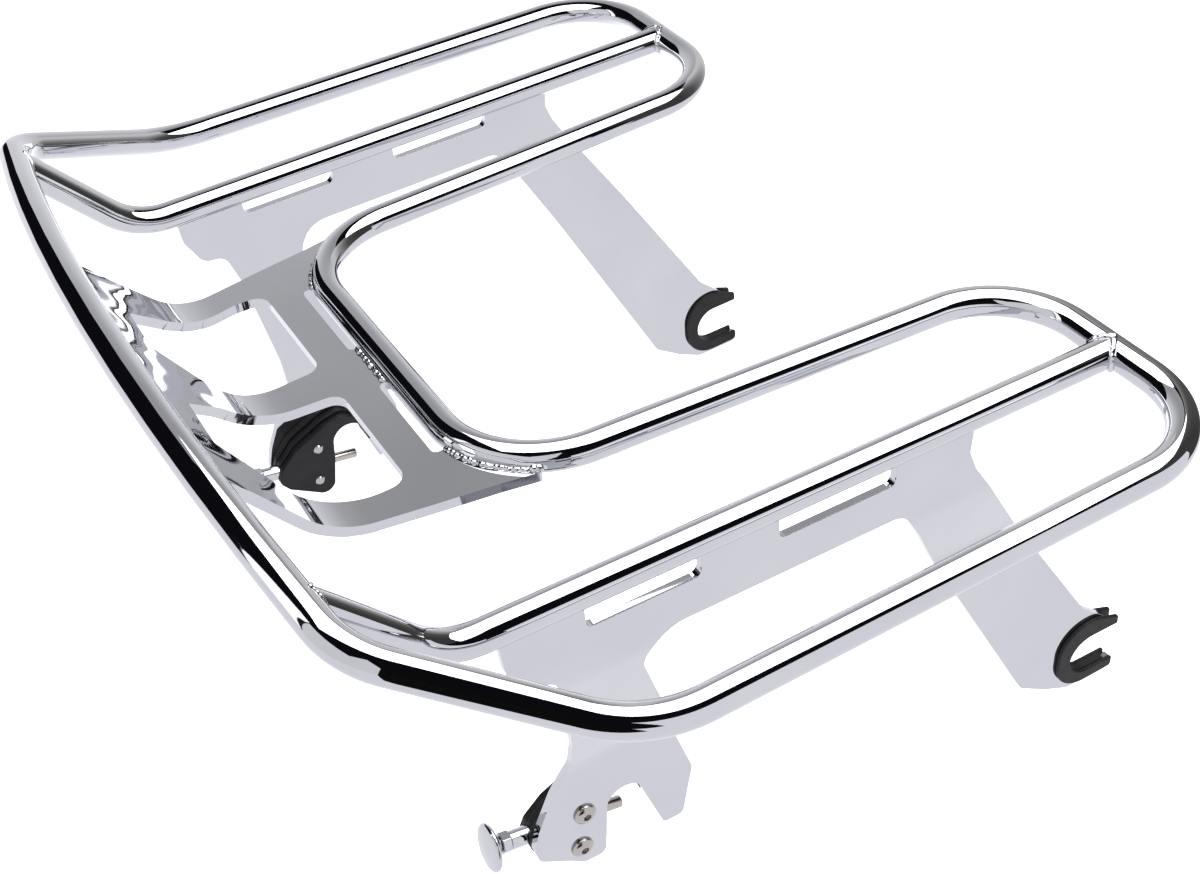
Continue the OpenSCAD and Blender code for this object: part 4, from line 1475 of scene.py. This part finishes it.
@dataclass
class Studio:
    """Pale floor, soft boards and the camera of the photograph."""

    camera_at: Vector = field(default_factory=lambda: Vector((-218.4, -653.7, 512.8)) * MM)
    camera_right: Vector = field(default_factory=lambda: Vector((0.86088, -0.50326, -0.07488)))
    camera_up: Vector = field(default_factory=lambda: Vector((0.37113, 0.52043, 0.76904)))
    focal_px: float = 1692.0
    centre_px: tuple[float, float] = (588.5, 410.9)
    sensor: float = 36.0
    floor_z: float = -0.2595
    floor_half: float = 6.0
    paper: tuple[float, float, float] = (1.0, 1.0, 1.0)
    paper_glow: float = 0.7
    reflected: tuple[float, float, float] = (1.07, 1.07, 1.13)

    def build_camera(self) -> None:
        """Places the camera where the photograph was taken from."""
        data = bpy.data.cameras.new("photo_camera")
        camera = bpy.data.objects.new("photo_camera", data)
        bpy.context.scene.collection.objects.link(camera)
        back = self.camera_right.cross(self.camera_up)
        turn = Matrix((self.camera_right, self.camera_up, back)).transposed()
        camera.matrix_world = Matrix.Translation(self.camera_at) @ turn.to_4x4()
        data.sensor_width = self.sensor
        data.lens = self.focal_px * self.sensor / PHOTO_WIDTH
        data.shift_x = (PHOTO_WIDTH / 2 - self.centre_px[0]) / PHOTO_WIDTH
        data.shift_y = (self.centre_px[1] - PHOTO_HEIGHT / 2) / PHOTO_WIDTH
        data.clip_start = 0.01
        bpy.context.scene.camera = camera

    def board(self, name: str, corners: list[tuple[float, float, float]], shine: Shine) -> None:
        """Hangs a flat board that the camera itself doesn't see.

        Args:
            name: The board's name.
            corners: Its corners in order.
            shine: What it shines with.
        """
        panel = flat_loop(name, [Vector(corner) for corner in corners])
        panel.data.materials.append(shine.build(f"{name}_light"))
        panel.visible_camera = False
        panel.visible_shadow = False
        panel.visible_diffuse = name == "soft_box"

    def upright(self, name: str, start: tuple[float, float], end: tuple[float, float], low: float,
                high: float, shine: Shine) -> None:
        """Stands an upright board between two places on the floor.

        Args:
            name: The board's name.
            start: One foot.
            end: The other foot.
            low: Its lower edge.
            high: Its upper edge.
            shine: What it shines with.
        """
        self.board(name, [(*start, low), (*end, low), (*end, high), (*start, high)], shine)

    def build_floor(self) -> None:
        """Lays a pale floor that reads white to the eye and lavender-grey in the plating."""
        deselect()
        bpy.ops.mesh.primitive_plane_add(size=2 * self.floor_half, location=(0.0, 0.0, self.floor_z))
        floor = bpy.context.object
        floor.name = floor.data.name = "studio_floor"
        place(floor)
        material = bpy.data.materials.new("pale_floor")
        material.use_nodes = True
        tree = material.node_tree
        shader = tree.nodes["Principled BSDF"]
        shader.inputs["Base Color"].default_value = (0.9, 0.9, 0.92, 1.0)
        shader.inputs["Roughness"].default_value = 0.9
        path = tree.nodes.new("ShaderNodeLightPath")
        seen = light_node(tree, self.paper, self.paper_glow)
        mirrored = light_node(tree, self.reflected, 1.0)
        tree.links.new(self.floor_level(tree), mirrored.inputs["Strength"])
        add = tree.nodes.new("ShaderNodeAddShader")
        mix = tree.nodes.new("ShaderNodeMixShader")
        output = tree.nodes["Material Output"]
        tree.links.new(shader.outputs["BSDF"], add.inputs[0])
        tree.links.new(seen.outputs["Emission"], add.inputs[1])
        tree.links.new(path.outputs["Is Glossy Ray"], mix.inputs["Fac"])
        tree.links.new(add.outputs["Shader"], mix.inputs[1])
        tree.links.new(mirrored.outputs["Emission"], mix.inputs[2])
        tree.links.new(mix.outputs["Shader"], output.inputs["Surface"])
        floor.data.materials.append(material)

    @staticmethod
    def floor_level(tree: bpy.types.NodeTree) -> bpy.types.NodeSocket:
        """Brightens the floor's reflection towards the far right, under the lit sweep.

        Args:
            tree: The floor's node tree.

        Returns:
            The level's socket.
        """
        place_node = tree.nodes.new("ShaderNodeTexCoord")
        split = tree.nodes.new("ShaderNodeSeparateXYZ")
        tree.links.new(place_node.outputs["Object"], split.inputs["Vector"])
        ramps = []
        for axis, low, high, top in (("Y", 0.15, 0.55, 0.62), ("X", -0.30, 0.12, 1.0)):
            node = tree.nodes.new("ShaderNodeMapRange")
            node.interpolation_type = "SMOOTHSTEP"
            for label, value in (("From Min", low), ("From Max", high), ("To Max", top)):
                node.inputs[label].default_value = value
            tree.links.new(split.outputs[axis], node.inputs["Value"])
            ramps.append(node.outputs["Result"])
        level = tree.nodes.new("ShaderNodeMath")
        level.operation = "MULTIPLY_ADD"
        tree.links.new(ramps[0], level.inputs[0])
        tree.links.new(ramps[1], level.inputs[1])
        level.inputs[2].default_value = 1.0
        return level.outputs["Value"]

    def build_world(self) -> None:
        """Lights the room: pale to the eye and dark in the plating."""
        world = bpy.data.worlds.new("studio_room")
        bpy.context.scene.world = world
        world.use_nodes = True
        tree = world.node_tree
        tree.nodes.clear()
        path = tree.nodes.new("ShaderNodeLightPath")
        pale = light_node(tree, (0.97, 0.975, 1.0), 1.0, "ShaderNodeBackground")
        dark = light_node(tree, (0.006, 0.006, 0.008), 1.0, "ShaderNodeBackground")
        mix = tree.nodes.new("ShaderNodeMixShader")
        output = tree.nodes.new("ShaderNodeOutputWorld")
        tree.links.new(path.outputs["Is Glossy Ray"], mix.inputs["Fac"])
        tree.links.new(pale.outputs["Background"], mix.inputs[1])
        tree.links.new(dark.outputs["Background"], mix.inputs[2])
        tree.links.new(mix.outputs["Shader"], output.inputs["Surface"])

    def build_boards(self) -> None:
        """Hangs the soft box and stands the boards that the photograph's tubes reflect."""
        floor, box_z = self.floor_z, 0.55
        self.board("soft_box", [(-0.33, -0.155, box_z), (0.67, -0.805, box_z), (1.08, 0.06, box_z),
                                (0.03, 0.36, box_z)], Shine(levels=((0.0, 4.0),)))
        lavender = self.reflected
        self.upright("front_board", (0.0, -0.362), (0.47, -0.362), floor, 0.055, Shine(lavender))
        self.upright("far_sweep", (-0.11, 1.35), (2.5, 1.35), floor, 1.9,
                     Shine((1.0, 1.0, 1.03), ((0.05, 0.98), (0.5, 0.82), (0.9, 0.60), (1.3, 0.48))))
        self.upright("right_wall", (0.86, -0.9), (0.86, 0.75), floor, 0.62,
                     Shine((1.0, 0.98, 0.97), ((-0.3, 0.065), (0.0, 0.12), (0.13, 0.26), (0.28, 0.45),
                                               (0.5, 0.85)), "Y"))
        wall = Shine((0.98, 0.98, 1.0))
        self.upright("left_wall", (-1.6, 0.40), (-1.6, -1.9), floor, 1.75, wall)
        self.upright("near_wall", (-1.6, -1.9), (-0.42, -1.9), floor, 1.9, wall)
        self.upright("strip_light", (-1.6, 0.72), (-1.6, 0.46), 0.0, 1.9, Shine(levels=((0.0, 1.8),)))
        self.board("dark_cloth", [(-0.33, -0.56, floor), (0.0, -1.02, floor), (0.0, -1.02, 1.1),
                                  (-0.11, -0.866, 0.9), (-0.197, -0.746, 0.284), (-0.259, -0.659, 0.126),
                                  (-0.308, -0.59, -0.019)], Shine(levels=((0.0, 0.006),)))

    def build(self) -> None:
        """Sets up the whole studio."""
        self.build_floor()
        self.build_world()
        self.build_boards()
        self.build_camera()
        bpy.context.scene.view_settings.view_transform = "Standard"


def main() -> None:
    """Builds the rack and its studio, piece by piece."""
    logging.basicConfig(level=logging.INFO, format="%(name)s: %(message)s")
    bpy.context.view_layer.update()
    finishes = Finishes()
    Studio().build()
    tubes = TubeFrame(finishes.tube)
    for assembly in (tubes, CentreSheet(finishes.sheet), SidePlates(finishes.plate),
                     WeldBeads(finishes.bead, tubes), HookGrommets(finishes.rubber), Latches(finishes)):
        assembly.build()
        log.info("%s is done", type(assembly).__name__)
    deselect()


if __name__ == "__main__":
    main()
